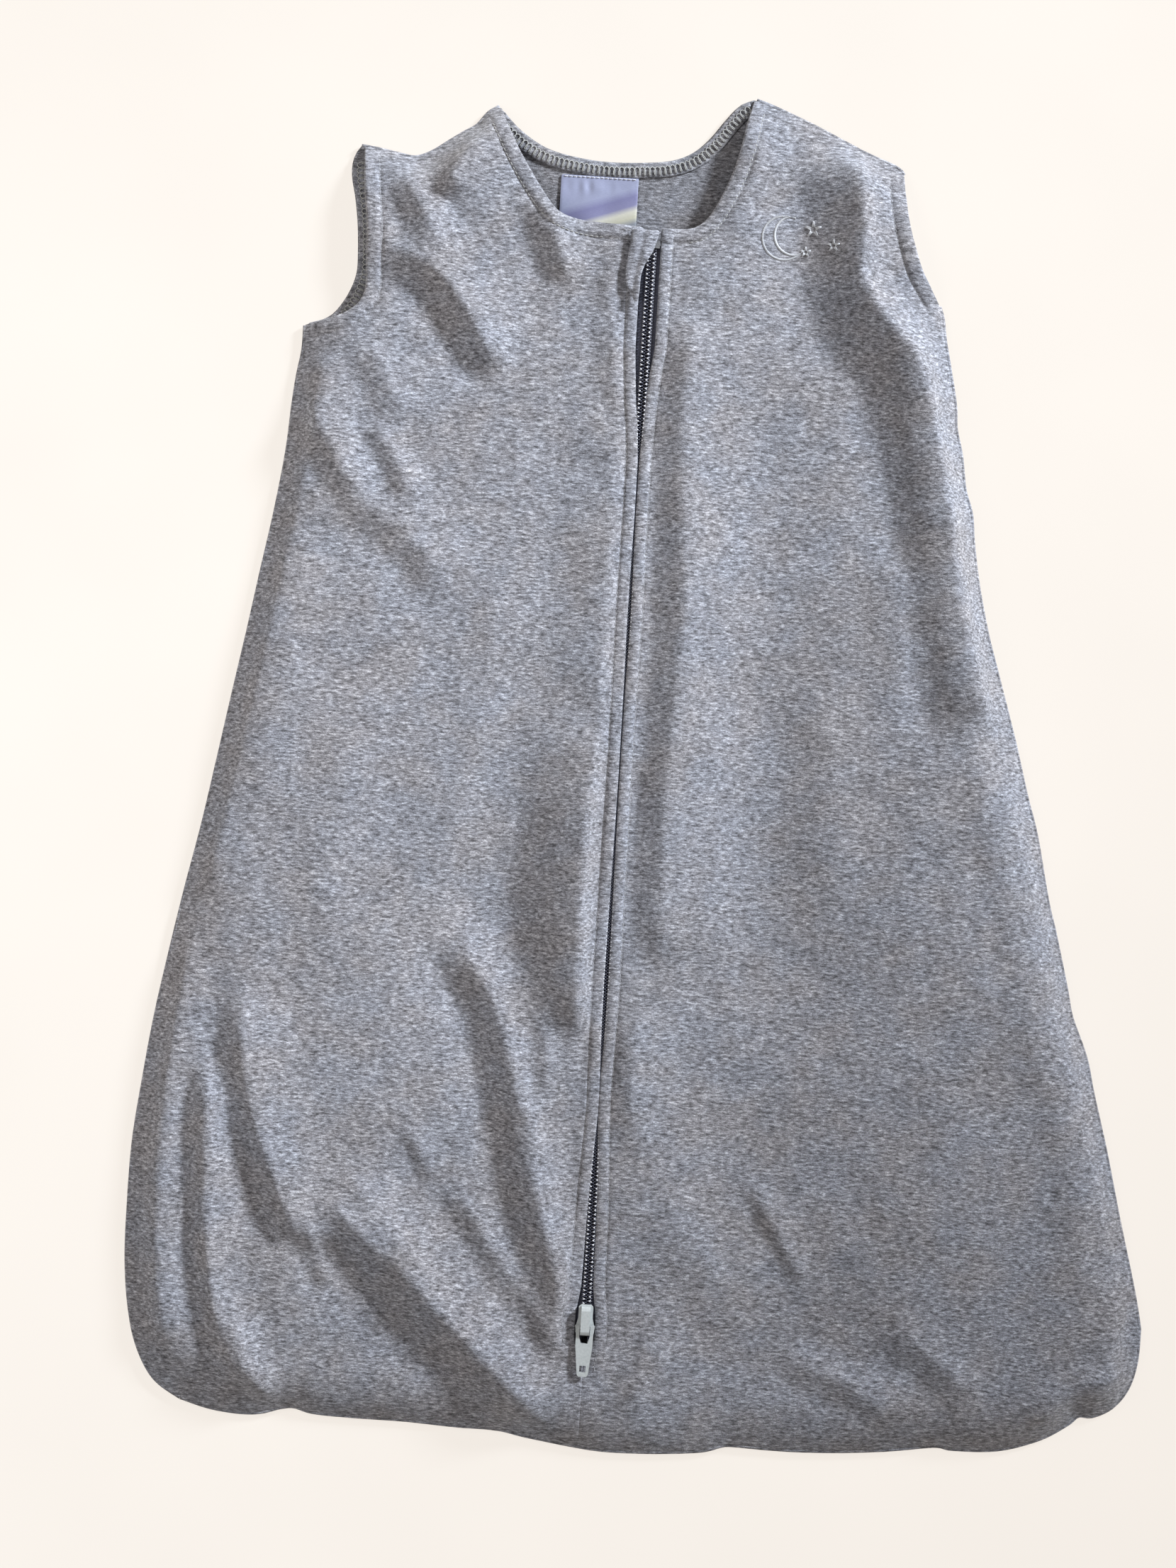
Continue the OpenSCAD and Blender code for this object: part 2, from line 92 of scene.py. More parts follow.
NECK_BACK = [(46, 335), (39.5, 332), (33, 324.5), (26, 315), (18, 307.5), (8, 303), (-6, 301), (-25, 300.3),
             (-41, 302), (-53, 305), (-62, 309.6), (-70, 315.6), (-77, 323)]
SHOULDER_LEFT = [(-78, 324.3), (-83, 321), (-88, 314.6), (-94, 310.8), (-101, 306), (-108, 301), (-114, 298),
                 (-119, 297), (-127, 298.4), (-136, 300), (-144, 301)]
ARM_BACK_LEFT = [(-144.6, 300.6), (-147.2, 294), (-147.2, 286), (-145, 276), (-143, 262), (-142, 247),
                 (-142.4, 238), (-146, 228), (-152, 219), (-158, 215), (-163, 213.6), (-166, 212)]
ARM_FRONT_LEFT = [(-142, 300.8), (-140.6, 290), (-139.2, 276), (-137.4, 262), (-136.8, 246), (-136.4, 232),
                  (-139, 224), (-145, 218.6), (-152, 215.4), (-160, 213.4), (-166, 212)]
NECK_FRONT_LEFT = [(-5, 267.7), (-18, 268.2), (-33, 269), (-44, 271.6), (-50, 276.4), (-59, 288.6),
                   (-67, 301.4), (-73, 313), (-77.6, 323.6)]
NECK_FRONT_RIGHT = [(5, 267.7), (14, 267.6), (22, 269.6), (27.6, 275), (33, 285), (38, 297.6), (41.8, 312),
                    (44.4, 326), (46.4, 334.6)]
# Distance of each front edge from the middle of the zip, from the neck down: y, left, right
LIPS = [(268, 5.0, 5.0), (250, 5.2, 5.0), (228, 5.2, 5.0), (210, 5.2, 5.0), (198, 4.4, 3.4),
        (184, 3.3, 2.1), (170, 1.6, 1.4), (155, 0.7, 0.9), (130, 0.6, 0.8), (100, 0.9, 1.1),
        (75, 1.0, 1.3), (45, 0.7, 0.9), (0, 0.6, 0.8), (-55, 1.0, 1.1), (-98, 1.4, 1.4),
        (-125, 1.1, 1.1), (-140, 0.7, 0.7), (-157, 0.3, 0.3), (-172, 0.9, 0.9), (-192, 1.9, 1.9),
        (-212, 2.7, 2.7), (-232, 3.0, 2.9), (-246, 3.4, 3.2), (-253, 4.4, 4.2), (-259, 5.3, 5.2),
        (-270, 5.3, 5.2), (-274, 5.0, 4.9), (-277.5, 1.2, 1.1), (-281, 0.4, 0.4), (-291, 0.35, 0.35),
        (-330, 0.35, 0.35)]

# Folds: crest, height, width of the side on the right hand of its run (steep), width of the other side
FOLDS_LEFT = [
    ([(-76, -72), (-64, -94), (-52, -114), (-40, -152), (-29, -195), (-18, -232), (-8, -266), (-4, -286)],
     7.0, 17, 22),
    ([(-70, -196), (-54, -220), (-38, -242), (-22, -264), (-11, -282)], 3.0, 10, 14),
    ([(-92, -172), (-84, -186), (-77, -202)], 1.9, 6, 9),
    ([(-134, -206), (-114, -222), (-94, -238), (-74, -258), (-54, -277), (-33, -297), (-12, -317)],
     8.6, 21, 34),
    ([(-175, -108), (-173, -140), (-167, -168), (-158, -193), (-148, -216), (-138, -240)], 6.0, 12, 30),
    ([(-139, -218), (-132, -238), (-122, -256)], 2.3, 7, 12),
    ([(-121, -196), (-106, -212), (-92, -228), (-75, -245)], 2.2, 8, 12),
    ([(-203, -80), (-209, -150), (-211, -200), (-209, -250), (-201, -292)], 3.2, 10, 15),
    ([(-190, -140), (-187, -205), (-183, -245), (-175, -280), (-163, -308)], 5.2, 10, 18),
    ([(-172, -266), (-162, -294), (-147, -312)], 4.2, 8, 14),
    ([(-31, -110), (-26, -136), (-23, -162)], 1.8, 6, 9),
    ([(-15, 10), (-16, -50), (-15, -110), (-17, -160)], 2.4, 32, 9),
    ([(-34, -155), (-29, -173), (-24, -190)], 1.6, 5, 8),
    ([(-152, 206), (-161, 140), (-174, 60), (-187, -10), (-198, -72)], 2.4, 11, 22),
    ([(-81, 324), (-87, 308), (-95, 292), (-104, 275)], 8.0, 17, 26),
    ([(-126, 297), (-115, 278), (-106, 262), (-100, 246)], 4.4, 12, 15),
    ([(-135, 256), (-113, 247), (-97, 236), (-85, 220), (-75, 204), (-62, 192)], 6.6, 14, 30),
    ([(-131, 170), (-118, 150), (-105, 127)], 3.0, 9, 11),
    ([(-167, 182), (-153, 160), (-138, 138), (-126, 128)], 3.4, 12, 18),
    ([(-136, 206), (-123, 186), (-114, 166)], 2.4, 13, 18),
    ([(-16, 266), (-18, 235), (-14, 204), (-12, 175)], 1.7, 10, 6),
    ([(-12, 182), (-12, 140), (-12, 100), (-12, 60), (-12, 26)], 2.2, 26, 9),
    ([(-12, 34), (-14, -10), (-14, -60), (-12, -128)], 5.2, 34, 9),
    ([(-55, 284), (-48, 266), (-42, 250), (-39, 236)], 4.4, 13, 16),
    ([(-158, 112), (-140, 124), (-118, 120), (-100, 104), (-86, 80)], 2.8, 14, 36),
    ([(-60, 120), (-66, 60), (-74, 0), (-84, -60)], 1.6, 26, 30),
    ([(-128, 20), (-136, -40), (-140, -100)], 1.4, 20, 26),
]
FOLDS_RIGHT = [
    ([(24, 232), (21, 190), (22, 150), (25, 118), (27, 84), (26, 40), (23, 0), (24, -50),
      (26, -92)], 5.4, 17, 42),
    ([(86, 320), (98, 300), (102, 272), (103, 248), (118, 228), (133, 210), (144, 175), (152, 147),
      (160, 108), (168, 70), (178, 30)], 9.0, 29, 17),
    ([(48, 326), (49, 302), (44, 282), (37, 262)], 2.4, 13, 18),
    ([(73, -186), (90, -213), (107, -242)], 1.8, 6, 10),
    ([(144, -254), (167, -268), (193, -290)], 3.0, 14, 16),
    ([(91, -276), (124, -283), (156, -300)], 3.0, 11, 14),
    ([(213, -304), (230, -286), (250, -276), (268, -277)], 3.8, 15, 14),
    ([(258, -232), (259, -250), (252, -270)], 2.6, 12, 10),
    ([(17, -104), (15, -140), (20, -186)], 3.0, 13, 24),
    ([(20, -308), (29, -288), (42, -268)], 2.2, 9, 14),
    ([(121, 124), (129, 98), (133, 66), (135, 26)], 1.8, 16, 16),
    ([(99, 60), (102, 0), (108, -60)], 1.4, 24, 24),
    ([(185, 20), (203, -35), (222, -100), (240, -165), (255, -220)], 2.4, 24, 9),
    ([(42, 40), (48, -20), (58, -90), (70, -150)], 2.0, 30, 40),
    ([(30, -196), (52, -226), (80, -250)], 1.8, 22, 26),
]

# Slow slopes of the front, outwards from the zip: direction, start, width, height. The second one falls.
TILTS = [(-1, 20, 130, 0.4), (1, 26, 44, 3.2), (1, 70, 120, 6.2)]
# Random unevenness of the front: height, size of a bump, seed
SWELLS = [(1.1, 62, 3), (0.6, 27, 5), (0.28, 12, 8), (0.10, 5, 13)]
# Broad hollows and swells of the front: middle, half width, half length, height
HOLLOWS = [((-60, -76), 33, 62, -8.6), ((-70, 90), 36, 52, -1.6), ((-154, -6), 38, 84, 2.8),
           ((-95, 60), 34, 44, 1.6), ((-150, 60), 20, 60, -1.0), ((60, 210), 26, 60, 1.2),
           ((88, 246), 22, 44, -2.2), ((60, -30), 34, 90, -1.8), ((140, -60), 60, 120, 3.0),
           ((40, 180), 30, 60, -1.5), ((118, -270), 60, 26, -1.6), ((-110, -285), 34, 22, -1.8),
           ((-150, -262), 20, 26, 1.4), ((-18, -205), 16, 34, -1.2), ((-30, -130), 16, 26, -1.4)]


# ---------------------------------------------------------------- curves and fields
def smooth(points, steps=6):
    """A Catmull-Rom curve through the points."""
    p = np.array(points, float)
    p = np.vstack([p[0], p, p[-1]])
    t = np.linspace(0, 1, steps, endpoint=False)[:, None]
    parts = []
    for a, b, c, d in zip(p[:-3], p[1:-2], p[2:-1], p[3:]):
        parts.append(0.5 * (2 * b + (c - a) * t + (2 * a - 5 * b + 4 * c - d) * t**2
                            + (3 * b - a - 3 * c + d) * t**3))
    return np.vstack(parts + [p[-1:]])


def resample(path, spacing):
    """The path again, with points about spacing apart. Works in 2D and 3D."""
    path = np.asarray(path, float)
    seg = np.linalg.norm(np.diff(path, axis=0), axis=1)
    run = np.concatenate([[0], np.cumsum(seg)])
    n = max(2, int(round(run[-1] / spacing)) + 1)
    at = np.linspace(0, run[-1], n)
    return np.stack([np.interp(at, run, path[:, k]) for k in range(path.shape[1])], axis=1)


def ease(t):
    t = np.clip(t, 0, 1)
    return t * t * (3 - 2 * t)


def nearest(p, path):
    """Distance to the path, share of its length, and side: negative is -X of a path that runs towards -Y."""
    a, b = path[:-1], path[1:]
    d = b - a
    length = np.linalg.norm(d, axis=1)
    start = np.concatenate([[0], np.cumsum(length)])[:-1]
    best = np.full(len(p), 1e9)
    share = np.zeros(len(p))
    side = np.ones(len(p))
    for k in range(len(a)):
        v = p - a[k]
        t = np.clip(v @ d[k] / max(length[k] ** 2, 1e-9), 0, 1)
        gap = v - t[:, None] * d[k]
        dist = np.hypot(gap[:, 0], gap[:, 1])
        closer = dist < best
        best[closer] = dist[closer]
        share[closer] = (start[k] + t[closer] * length[k]) / max(length.sum(), 1e-9)
        side[closer] = np.sign(d[k, 0] * v[closer, 1] - d[k, 1] * v[closer, 0] + 1e-12)
    return best, share, side


NOISE_CELLS = 96


def noise(p, cell, seed, stretch=(1.0, 1.0)):
    """Smooth value noise from -1 to 1, with features about cell wide."""
    rng = np.random.default_rng(seed)
    grid = rng.uniform(-1, 1, (NOISE_CELLS, NOISE_CELLS))
    off_grid = 41.3         # keeps the grid's lines away from the bag's middle
    q = p / (np.array(stretch) * cell) + off_grid
    i = np.floor(q).astype(int)
    f = ease(q - i)
    i %= NOISE_CELLS - 1
    low, high = (grid[i[:, 0], i[:, 1] + up] * (1 - f[:, 0]) + grid[i[:, 0] + 1, i[:, 1] + up] * f[:, 0]
                 for up in (0, 1))
    return low * (1 - f[:, 1]) + high * f[:, 1]


def inside(p, loop):
    hit = np.zeros(len(p), bool)
    for a, b in zip(loop, np.roll(loop, -1, axis=0)):
        cross = (a[1] > p[:, 1]) != (b[1] > p[:, 1])
        with np.errstate(divide="ignore", invalid="ignore"):
            x = (b[0] - a[0]) * (p[:, 1] - a[1]) / (b[1] - a[1]) + a[0]
        hit ^= cross & (p[:, 0] < x)
    return hit


lip_y = np.array([r[0] for r in LIPS][::-1], float)
lip_left = np.array([r[1] for r in LIPS][::-1], float)
lip_right = np.array([r[2] for r in LIPS][::-1], float)


def lip_x(y, side):
    """x of a front edge at the zip."""
    return -np.interp(y, lip_y, lip_left) if side < 0 else np.interp(y, lip_y, lip_right)


C_SIDE_LEFT, C_HEM, C_SIDE_RIGHT = smooth(SIDE_LEFT), smooth(HEM), smooth(SIDE_RIGHT)
C_SHOULDER_LEFT, C_SHOULDER_RIGHT = smooth(SHOULDER_LEFT, 3), smooth(SHOULDER_RIGHT, 3)
C_NECK_BACK, C_NECK_LEFT, C_NECK_RIGHT = smooth(NECK_BACK), smooth(NECK_FRONT_LEFT), smooth(NECK_FRONT_RIGHT)
C_ARM_BACK, C_ARM_LEFT, C_ARM_RIGHT = smooth(ARM_BACK_LEFT), smooth(ARM_FRONT_LEFT), smooth(ARM_RIGHT)
C_HEM_Y = float(np.interp(0, C_HEM[:, 0], C_HEM[:, 1]))     # y of the hem under the zip


def point_tree(points):
    """The points, sorted for fast distances."""
    tree = KDTree(len(points))
    for i, (x, y) in enumerate(points):
        tree.insert((x, y, 0), i)
    tree.balance()
    return tree


def search_tree(paths):
    """Points every half millimetre along the paths."""
    return point_tree(np.vstack([resample(path, 0.5) for path in paths]))


def far_from(p, tree):
    """Distance of each point to the nearest one in the tree."""
    return np.array([tree.find((x, y, 0))[2] for x, y in p])


CLOSED = search_tree([C_SIDE_LEFT, C_HEM, C_SIDE_RIGHT, C_SHOULDER_LEFT, C_SHOULDER_RIGHT])
# Each closed edge, with the width over which the front rises from it and how abruptly
EDGES = [(search_tree([C_SIDE_LEFT]), 32, 2.0), (search_tree([C_SIDE_RIGHT]), 26, 1.7),
         (search_tree([C_HEM]), 27, 2.3), (search_tree([C_SHOULDER_LEFT]), 24, 2.0),
         (search_tree([C_SHOULDER_RIGHT]), 26, 1.9)]
OPEN = search_tree([C_NECK_LEFT, C_NECK_RIGHT, C_ARM_LEFT, C_ARM_RIGHT])
CREST_R = 1.6           # radius of a fold's crest
STEEP_POWER, GENTLE_POWER = 1.35, 1.9       # how hollow a fold's two sides are
STEEP_DIP, GENTLE_DIP = 0.22, 0.06          # depth of the dip at their feet, as a share of the height
END_SHARE = 0.06        # what is left of the height at a fold's ends
HEM_PUFF, HEM_GROOVE = 0.4, 0.7             # swell of a turned hem, and groove along its stitching
LIP_PUFF, LIP_GROOVE = 0.45, 0.42           # the same at the zip


def fold_height(p, crest, height, steep, gentle):
    """One fold's height, worked out only near its crest."""
    path = smooth(crest, 5)
    reach = 2.2 * max(steep, gentle)
    near = np.all((p > path.min(0) - reach) & (p < path.max(0) + reach), axis=1)
    out = np.zeros(len(p))
    out[near] = fold_profile(p[near], path, height, steep, gentle)
    return out


def fold_profile(p, path, height, steep, gentle):
    """A fold's cross-section: a crest with a dip at each foot, lower towards both ends."""
    d, share, side = nearest(p, path)
    left = side < 0
    width = np.where(left, steep, gentle)
    d = np.sqrt(d * d + CREST_R**2) - CREST_R
    profile = np.clip(1 - d / width, 0, 1) ** np.where(left, STEEP_POWER, GENTLE_POWER)
    dip = np.where(left, STEEP_DIP, GENTLE_DIP) * np.exp(-(((d - width) / (0.55 * width)) ** 2))
    run = np.linalg.norm(np.diff(path, axis=0), axis=1).sum()
    ends = ease(share * run / min(0.3 * run, 26)) * ease((1 - share) * run / min(0.25 * run, 22))
    return height * (profile - dip) * (END_SHARE + (1 - END_SHARE) * ends)


def front_height(p):
    """Height of the front cloth's upper face over the floor."""
    p = np.asarray(p, float)
    closed = far_from(p, CLOSED)
    opened = far_from(p, OPEN)
    rise = np.ones(len(p))
    for tree, width, power in EDGES:
        rise = rise * (1 - (1 - np.clip(far_from(p, tree) / width, 0, 1)) ** power)
    left, dip, bank = (height * ease((side * p[:, 0] - start) / width)
                       for side, start, width, height in TILTS)
    tilt = np.where(p[:, 0] < 0, left, bank - dip)
    level = PLATEAU - 0.1 + tilt
    edge = np.where(p[:, 0] < 0, lip_x(p[:, 1], -1), lip_x(p[:, 1], 1))
    zip_gap = np.abs(p[:, 0] - edge)
    zipped = ease((p[:, 1] - SEAM_JOIN_Y) / 25)
    calm = 1 - zipped * (1 - ease((zip_gap - 2.0) / 8))
    folds = np.zeros(len(p))
    for group, keep in ((FOLDS_LEFT, p[:, 0] < 0), (FOLDS_RIGHT, p[:, 0] >= 0)):
        total = np.zeros(keep.sum())
        for crest, height, steep, gentle in group:
            total = total + fold_height(p[keep], crest, height, steep, gentle)
        folds[keep] = total
    for (x, y), half_x, half_y, height in HOLLOWS:
        away = ((p[:, 0] - x) / half_x) ** 2 + ((p[:, 1] - y) / half_y) ** 2
        level = level + height * np.exp(-away) * calm
    swell = sum(height * noise(p, cell, seed) for height, cell, seed in SWELLS)
    rumple = 0.45 * noise(p, 7, 21, (1, 2.2)) * ease(1 - closed / 15)
    edge_fade = ease(closed / 9)
    hem_puff = (HEM_PUFF * np.sin(np.pi * np.clip(opened / HEM_W, 0, 1))
                - HEM_GROOVE * np.exp(-((opened - HEM_W) / 0.75) ** 2))
    lip_puff = zipped * (LIP_PUFF * np.sin(np.pi * np.clip(zip_gap / TOPSTITCH, 0, 1)) ** 0.7
                         - LIP_GROOVE * np.exp(-((zip_gap - TOPSTITCH) / 0.55) ** 2))
    near_seam = np.clip(closed / 11, 0, 1)
    height = SEAM_Z + (level - SEAM_Z + swell * calm) * rise + folds * calm * near_seam + rumple * edge_fade
    return height + (hem_puff + lip_puff) * edge_fade


def front_thickness(p):
    """One layer, and a turned second one along the open edges."""
    opened = far_from(p, OPEN)
    closed = far_from(p, CLOSED)
    return CLOTH_T + HEM_T * ease((HEM_W + 0.6 - opened) / 1.2) * ease((closed - 6) / 8)


# ---------------------------------------------------------------- meshes
def new_object(name, verts, faces, material=None, smooth_shade=True):
    mesh = bpy.data.meshes.new(name)
    points = [tuple(v) for v in np.asarray(verts) * MM]
    mesh.from_pydata(points, [], [tuple(int(i) for i in f) for f in faces])
    mesh.validate()
    if smooth_shade:
        mesh.shade_smooth()
    obj = bpy.data.objects.new(name, mesh)
    bpy.context.scene.collection.objects.link(obj)
    if material:
        mesh.materials.append(material)
    return obj


ROW_STEP = 0.866        # rows of even triangles
LINE_GAP = 0.3          # least distance from the edge to the points of a line
EDGE_GAP, FILL_GAP = 0.5, 0.55      # the same for filling points, to the edge and others, in spacings


def flat_region(loop, spacing, lines=()):
    """Points and triangles that fill a loop; the loop's own points come first, then those of the lines."""
    ring = resample(np.vstack([loop, loop[:1]]), spacing)[:-1]
    low, high = ring.min(0), ring.max(0)
    rows = np.arange(low[1], high[1], spacing * ROW_STEP)
    cols = np.arange(low[0], high[0], spacing)
    x, y = np.meshgrid(cols, rows)
    x = x + (np.arange(len(rows)) % 2)[:, None] * spacing / 2
    fill = np.stack([x.ravel(), y.ravel()], axis=1)
    edge = search_tree([np.vstack([ring, ring[:1]])])
    fixed = [ring]
    for line in lines:
        line = line[inside(line, ring)]
        fixed.append(line[far_from(line, edge) > LINE_GAP])
    taken = search_tree([ring]) if len(fixed) == 1 else point_tree(np.vstack(fixed))
    fill = fill[inside(fill, ring)]
    fill = fill[(far_from(fill, edge) > spacing * EDGE_GAP) & (far_from(fill, taken) > spacing * FILL_GAP)]
    points = np.vstack(fixed + [fill])
    n = len(ring)
    result = delaunay_2d_cdt([Vector(q) for q in points], [(i, (i + 1) % n) for i in range(n)], [], 1, 1e-6)
    out = np.array([tuple(v) for v in result[0]])
    tris = np.array([f for f in result[2] if len(f) == 3])
    a, b, c = (out[tris[:, k]] for k in range(3))
    area = (b[:, 0] - a[:, 0]) * (c[:, 1] - a[:, 1]) - (b[:, 1] - a[:, 1]) * (c[:, 0] - a[:, 0])
    tris[area < 0] = tris[area < 0][:, ::-1]
    return out[:, :2], tris, n


def cloth_sheet(name, loop, spacing, height, thickness, material, rim_steps=4, lines=()):
    """A closed sheet over a loop: its upper face follows height(), and its edge is round."""
    flat, tris, n = flat_region(loop, spacing, lines)
    top = np.column_stack([flat, height(flat)])
    thick = thickness(flat) if callable(thickness) else np.full(len(flat), float(thickness))
    a, b, c = (top[tris[:, k]] for k in range(3))
    face_normal = np.cross(b - a, c - a)
    normal = np.zeros_like(top)
    for k in range(3):
        np.add.at(normal, tris[:, k], face_normal)
    normal /= np.linalg.norm(normal, axis=1)[:, None]
    low = top - normal * thick[:, None]
    ring = np.arange(n)
    ahead, behind = np.roll(ring, -1), np.roll(ring, 1)
    along = top[ahead] - top[behind]
    out = np.cross(along, normal[ring])
    turn = np.sum(flat[:n, 0] * flat[ahead, 1] - flat[ahead, 0] * flat[:n, 1])
    out *= (1 if turn > 0 else -1) / np.maximum(np.linalg.norm(out, axis=1)[:, None], 1e-9)
    mid, half = (top[ring] + low[ring]) / 2, thick[ring][:, None] / 2
    verts = [top, low]
    rings = [ring]
    count = 2 * len(top)
    for k in range(1, rim_steps):
        angle = math.pi * k / rim_steps
        verts.append(mid + out * half * math.sin(angle) + normal[ring] * half * math.cos(angle))
        rings.append(np.arange(count, count + n))
        count += n
    rings.append(ring + len(top))
    faces = [tuple(t) for t in tris] + [tuple(t[::-1] + len(top)) for t in tris]
    for r0, r1 in zip(rings[:-1], rings[1:]):
        for i in range(n):
            j = (i + 1) % n
            quad = (r0[i], r1[i], r1[j], r0[j])
            faces.append(quad if turn > 0 else quad[::-1])
    return new_object(name, np.vstack(verts), faces, material)


def tube(name, path, radius, material, sides=10, flatten=1.0):
    """A round tube along a 3D path, in millimetres, with capped ends."""
    verts, faces = tube_parts(np.asarray(path, float), radius, sides, flatten)
    return new_object(name, verts, faces, material)


def tube_parts(path, radius, sides, flatten=1.0, base=0):
    n = len(path)
    along = np.gradient(path, axis=0)
    along /= np.maximum(np.linalg.norm(along, axis=1)[:, None], 1e-9)
    up = np.array([0.0, 0.0, 1.0])
    side = np.cross(along, up)
    weak = np.linalg.norm(side, axis=1) < 1e-3
    side[weak] = (1, 0, 0)
    side /= np.linalg.norm(side, axis=1)[:, None]
    rise = np.cross(side, along)
    r = np.broadcast_to(np.asarray(radius, float), (n,))[:, None]
    verts = []
    for k in range(sides):
        angle = 2 * math.pi * k / sides
        verts.append(path + side * r * math.cos(angle) + rise * r * flatten * math.sin(angle))
    verts = np.stack(verts, axis=1).reshape(-1, 3)
    faces = []
    for i in range(n - 1):
        for k in range(sides):
            a, b = base + i * sides + k, base + i * sides + (k + 1) % sides
            faces.append((a, b, b + sides, a + sides))
    faces.append(tuple(base + k for k in reversed(range(sides))))
    faces.append(tuple(base + (n - 1) * sides + k for k in range(sides)))
    return verts, faces


def many_tubes(name, paths, radius, material, sides=6):
    verts, faces, base = [], [], 0
    for path in paths:
        v, f = tube_parts(np.asarray(path, float), radius, sides, base=base)
        verts.append(v)
        faces += f
        base += len(v)
    return new_object(name, np.vstack(verts), faces, material)


def stitches(name, path, pitch, length, radius, material):
    """A row of sewn stitches along a 3D path: each dips into the cloth at its ends."""
    dots = resample(path, pitch)
    paths = []
    for a, b in zip(dots[:-1], dots[1:]):
        d = (b - a) / max(np.linalg.norm(b - a), 1e-9)
        mid = (a + b) / 2
        t = np.array([-0.5, -0.3, 0.0, 0.3, 0.5])
        lift = np.array([-1.4, -0.2, 0.25, -0.2, -1.4]) * radius
        paths.append(mid + d * (t * length)[:, None] + np.array([0, 0, 1.0]) * lift[:, None])
    return many_tubes(name, paths, radius, material)


def beside(path, offset):
    d = np.gradient(path, axis=0)
    d /= np.maximum(np.linalg.norm(d, axis=1)[:, None], 1e-9)
    return path + np.stack([-d[:, 1], d[:, 0]], axis=1) * offset


def on_front(path, lift=0.0):
    return np.column_stack([path, front_height(path) + lift])


def ride(obj, body, nodes=()):
    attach(obj, body)
    if nodes:
        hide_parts(*nodes)
    return obj


# ---------------------------------------------------------------- materials
EVEN = (1.0, 1.0, 1.0)  # a grain with no direction


def node_material(name, rough=0.9, metallic=0.0, specular=0.3, sheen=0.0, coat=0.0):
    mat = bpy.data.materials.new(name)
    mat.use_nodes = True
    shader = mat.node_tree.nodes["Principled BSDF"]
    shader.inputs["Roughness"].default_value = rough
    shader.inputs["Metallic"].default_value = metallic
    shader.inputs["Specular IOR Level"].default_value = specular
    shader.inputs["Sheen Weight"].default_value = sheen
    shader.inputs["Sheen Roughness"].default_value = 0.6
    shader.inputs["Coat Weight"].default_value = coat
    return mat, mat.node_tree, shader


def add(tree, kind, **values):
    node = tree.nodes.new(kind)
    for key, value in values.items():
        if key in node.inputs:
            node.inputs[key].default_value = value
        else:
            setattr(node, key, value)
    return node


def noise_node(tree, scale, stretch, detail=2.0, rough=0.5):
    """Noise with scale features to the metre; stretch lengthens its grain along X, Y and Z."""
    coord = add(tree, "ShaderNodeTexCoord")
    mapping = add(tree, "ShaderNodeMapping")
    mapping.inputs["Scale"].default_value = [scale / s for s in stretch]
    tree.links.new(coord.outputs["Object"], mapping.inputs["Vector"])
    tex = add(tree, "ShaderNodeTexNoise", Scale=1.0, Detail=detail, Roughness=rough)
    tree.links.new(mapping.outputs["Vector"], tex.inputs["Vector"])
    return tex


def ramp(tree, source, stops):
    node = add(tree, "ShaderNodeValToRGB")
    points = node.color_ramp.elements
    while len(points) < len(stops):
        points.new(0.5)
    for point, (pos, colour) in zip(points, stops):
        point.position = pos
        point.color = (*colour, 1)
    tree.links.new(source, node.inputs["Fac"])
    return node


def multiply(tree, a, b, factor=1.0):
    """The colour of socket a times that of socket b."""
    node = add(tree, "ShaderNodeMix", data_type="RGBA", blend_type="MULTIPLY")
    node.inputs[0].default_value = factor
    tree.links.new(a, node.inputs[6])
    tree.links.new(b, node.inputs[7])
    return node.outputs[2]


def bump(tree, shader, source, strength, distance):
    node = add(tree, "ShaderNodeBump", Strength=strength, Distance=distance)
    tree.links.new(source, node.inputs["Height"])
    tree.links.new(node.outputs["Normal"], shader.inputs["Normal"])
    return node


# light scales every tone of the jersey: 0.90 is the outer cloth's own tone, lower values are painted shade.
def jersey(name, light):
    """Heather jersey: short streaks of light and dark fibre along the courses, on fine knit loops."""
    mat, tree, shader = node_material(name, rough=0.92, specular=0.12, sheen=0.25)
    streak = noise_node(tree, 1050, (3.2, 1.0, 1.8), 3.0, 0.62)
    fine = noise_node(tree, 2900, (2.0, 1.0, 1.5), 2.0, 0.6)
    cloud = noise_node(tree, 45, EVEN, 2.0, 0.5)
    fibres = [(0.32, (0.080, 0.078, 0.086)), (0.45, (0.215, 0.214, 0.234)), (0.55, (0.300, 0.302, 0.332)),
              (0.70, (0.560, 0.568, 0.615))]
    base = ramp(tree, streak.outputs["Fac"], [(at, tuple(c * light for c in tone)) for at, tone in fibres])
    flecks = ramp(tree, fine.outputs["Fac"], [(0.32, (0.57, 0.56, 0.57)), (0.5, (1.0, 1.0, 1.0)),
                                              (0.70, (1.36, 1.37, 1.40))])
    cast = ramp(tree, cloud.outputs["Fac"], [(0.35, (1.03, 0.99, 0.96)), (0.65, (0.97, 1.0, 1.05))])
    colour = multiply(tree, base.outputs["Color"], flecks.outputs["Color"])
    colour = multiply(tree, colour, cast.outputs["Color"], 0.8)
    mottle = noise_node(tree, 420, (3.2, 1.0, 1.5), 2.0, 0.55)
    patch = ramp(tree, mottle.outputs["Fac"], [(0.34, (0.88, 0.88, 0.88)), (0.66, (1.11, 1.11, 1.11))])
    colour = multiply(tree, colour, patch.outputs["Color"])
    tree.links.new(colour, shader.inputs["Base Color"])
    knit = noise_node(tree, 2300, (1.0, 1.6, 1.0), 2.0, 0.7)
    bump(tree, shader, knit.outputs["Fac"], 0.55, 0.0004)
    return mat


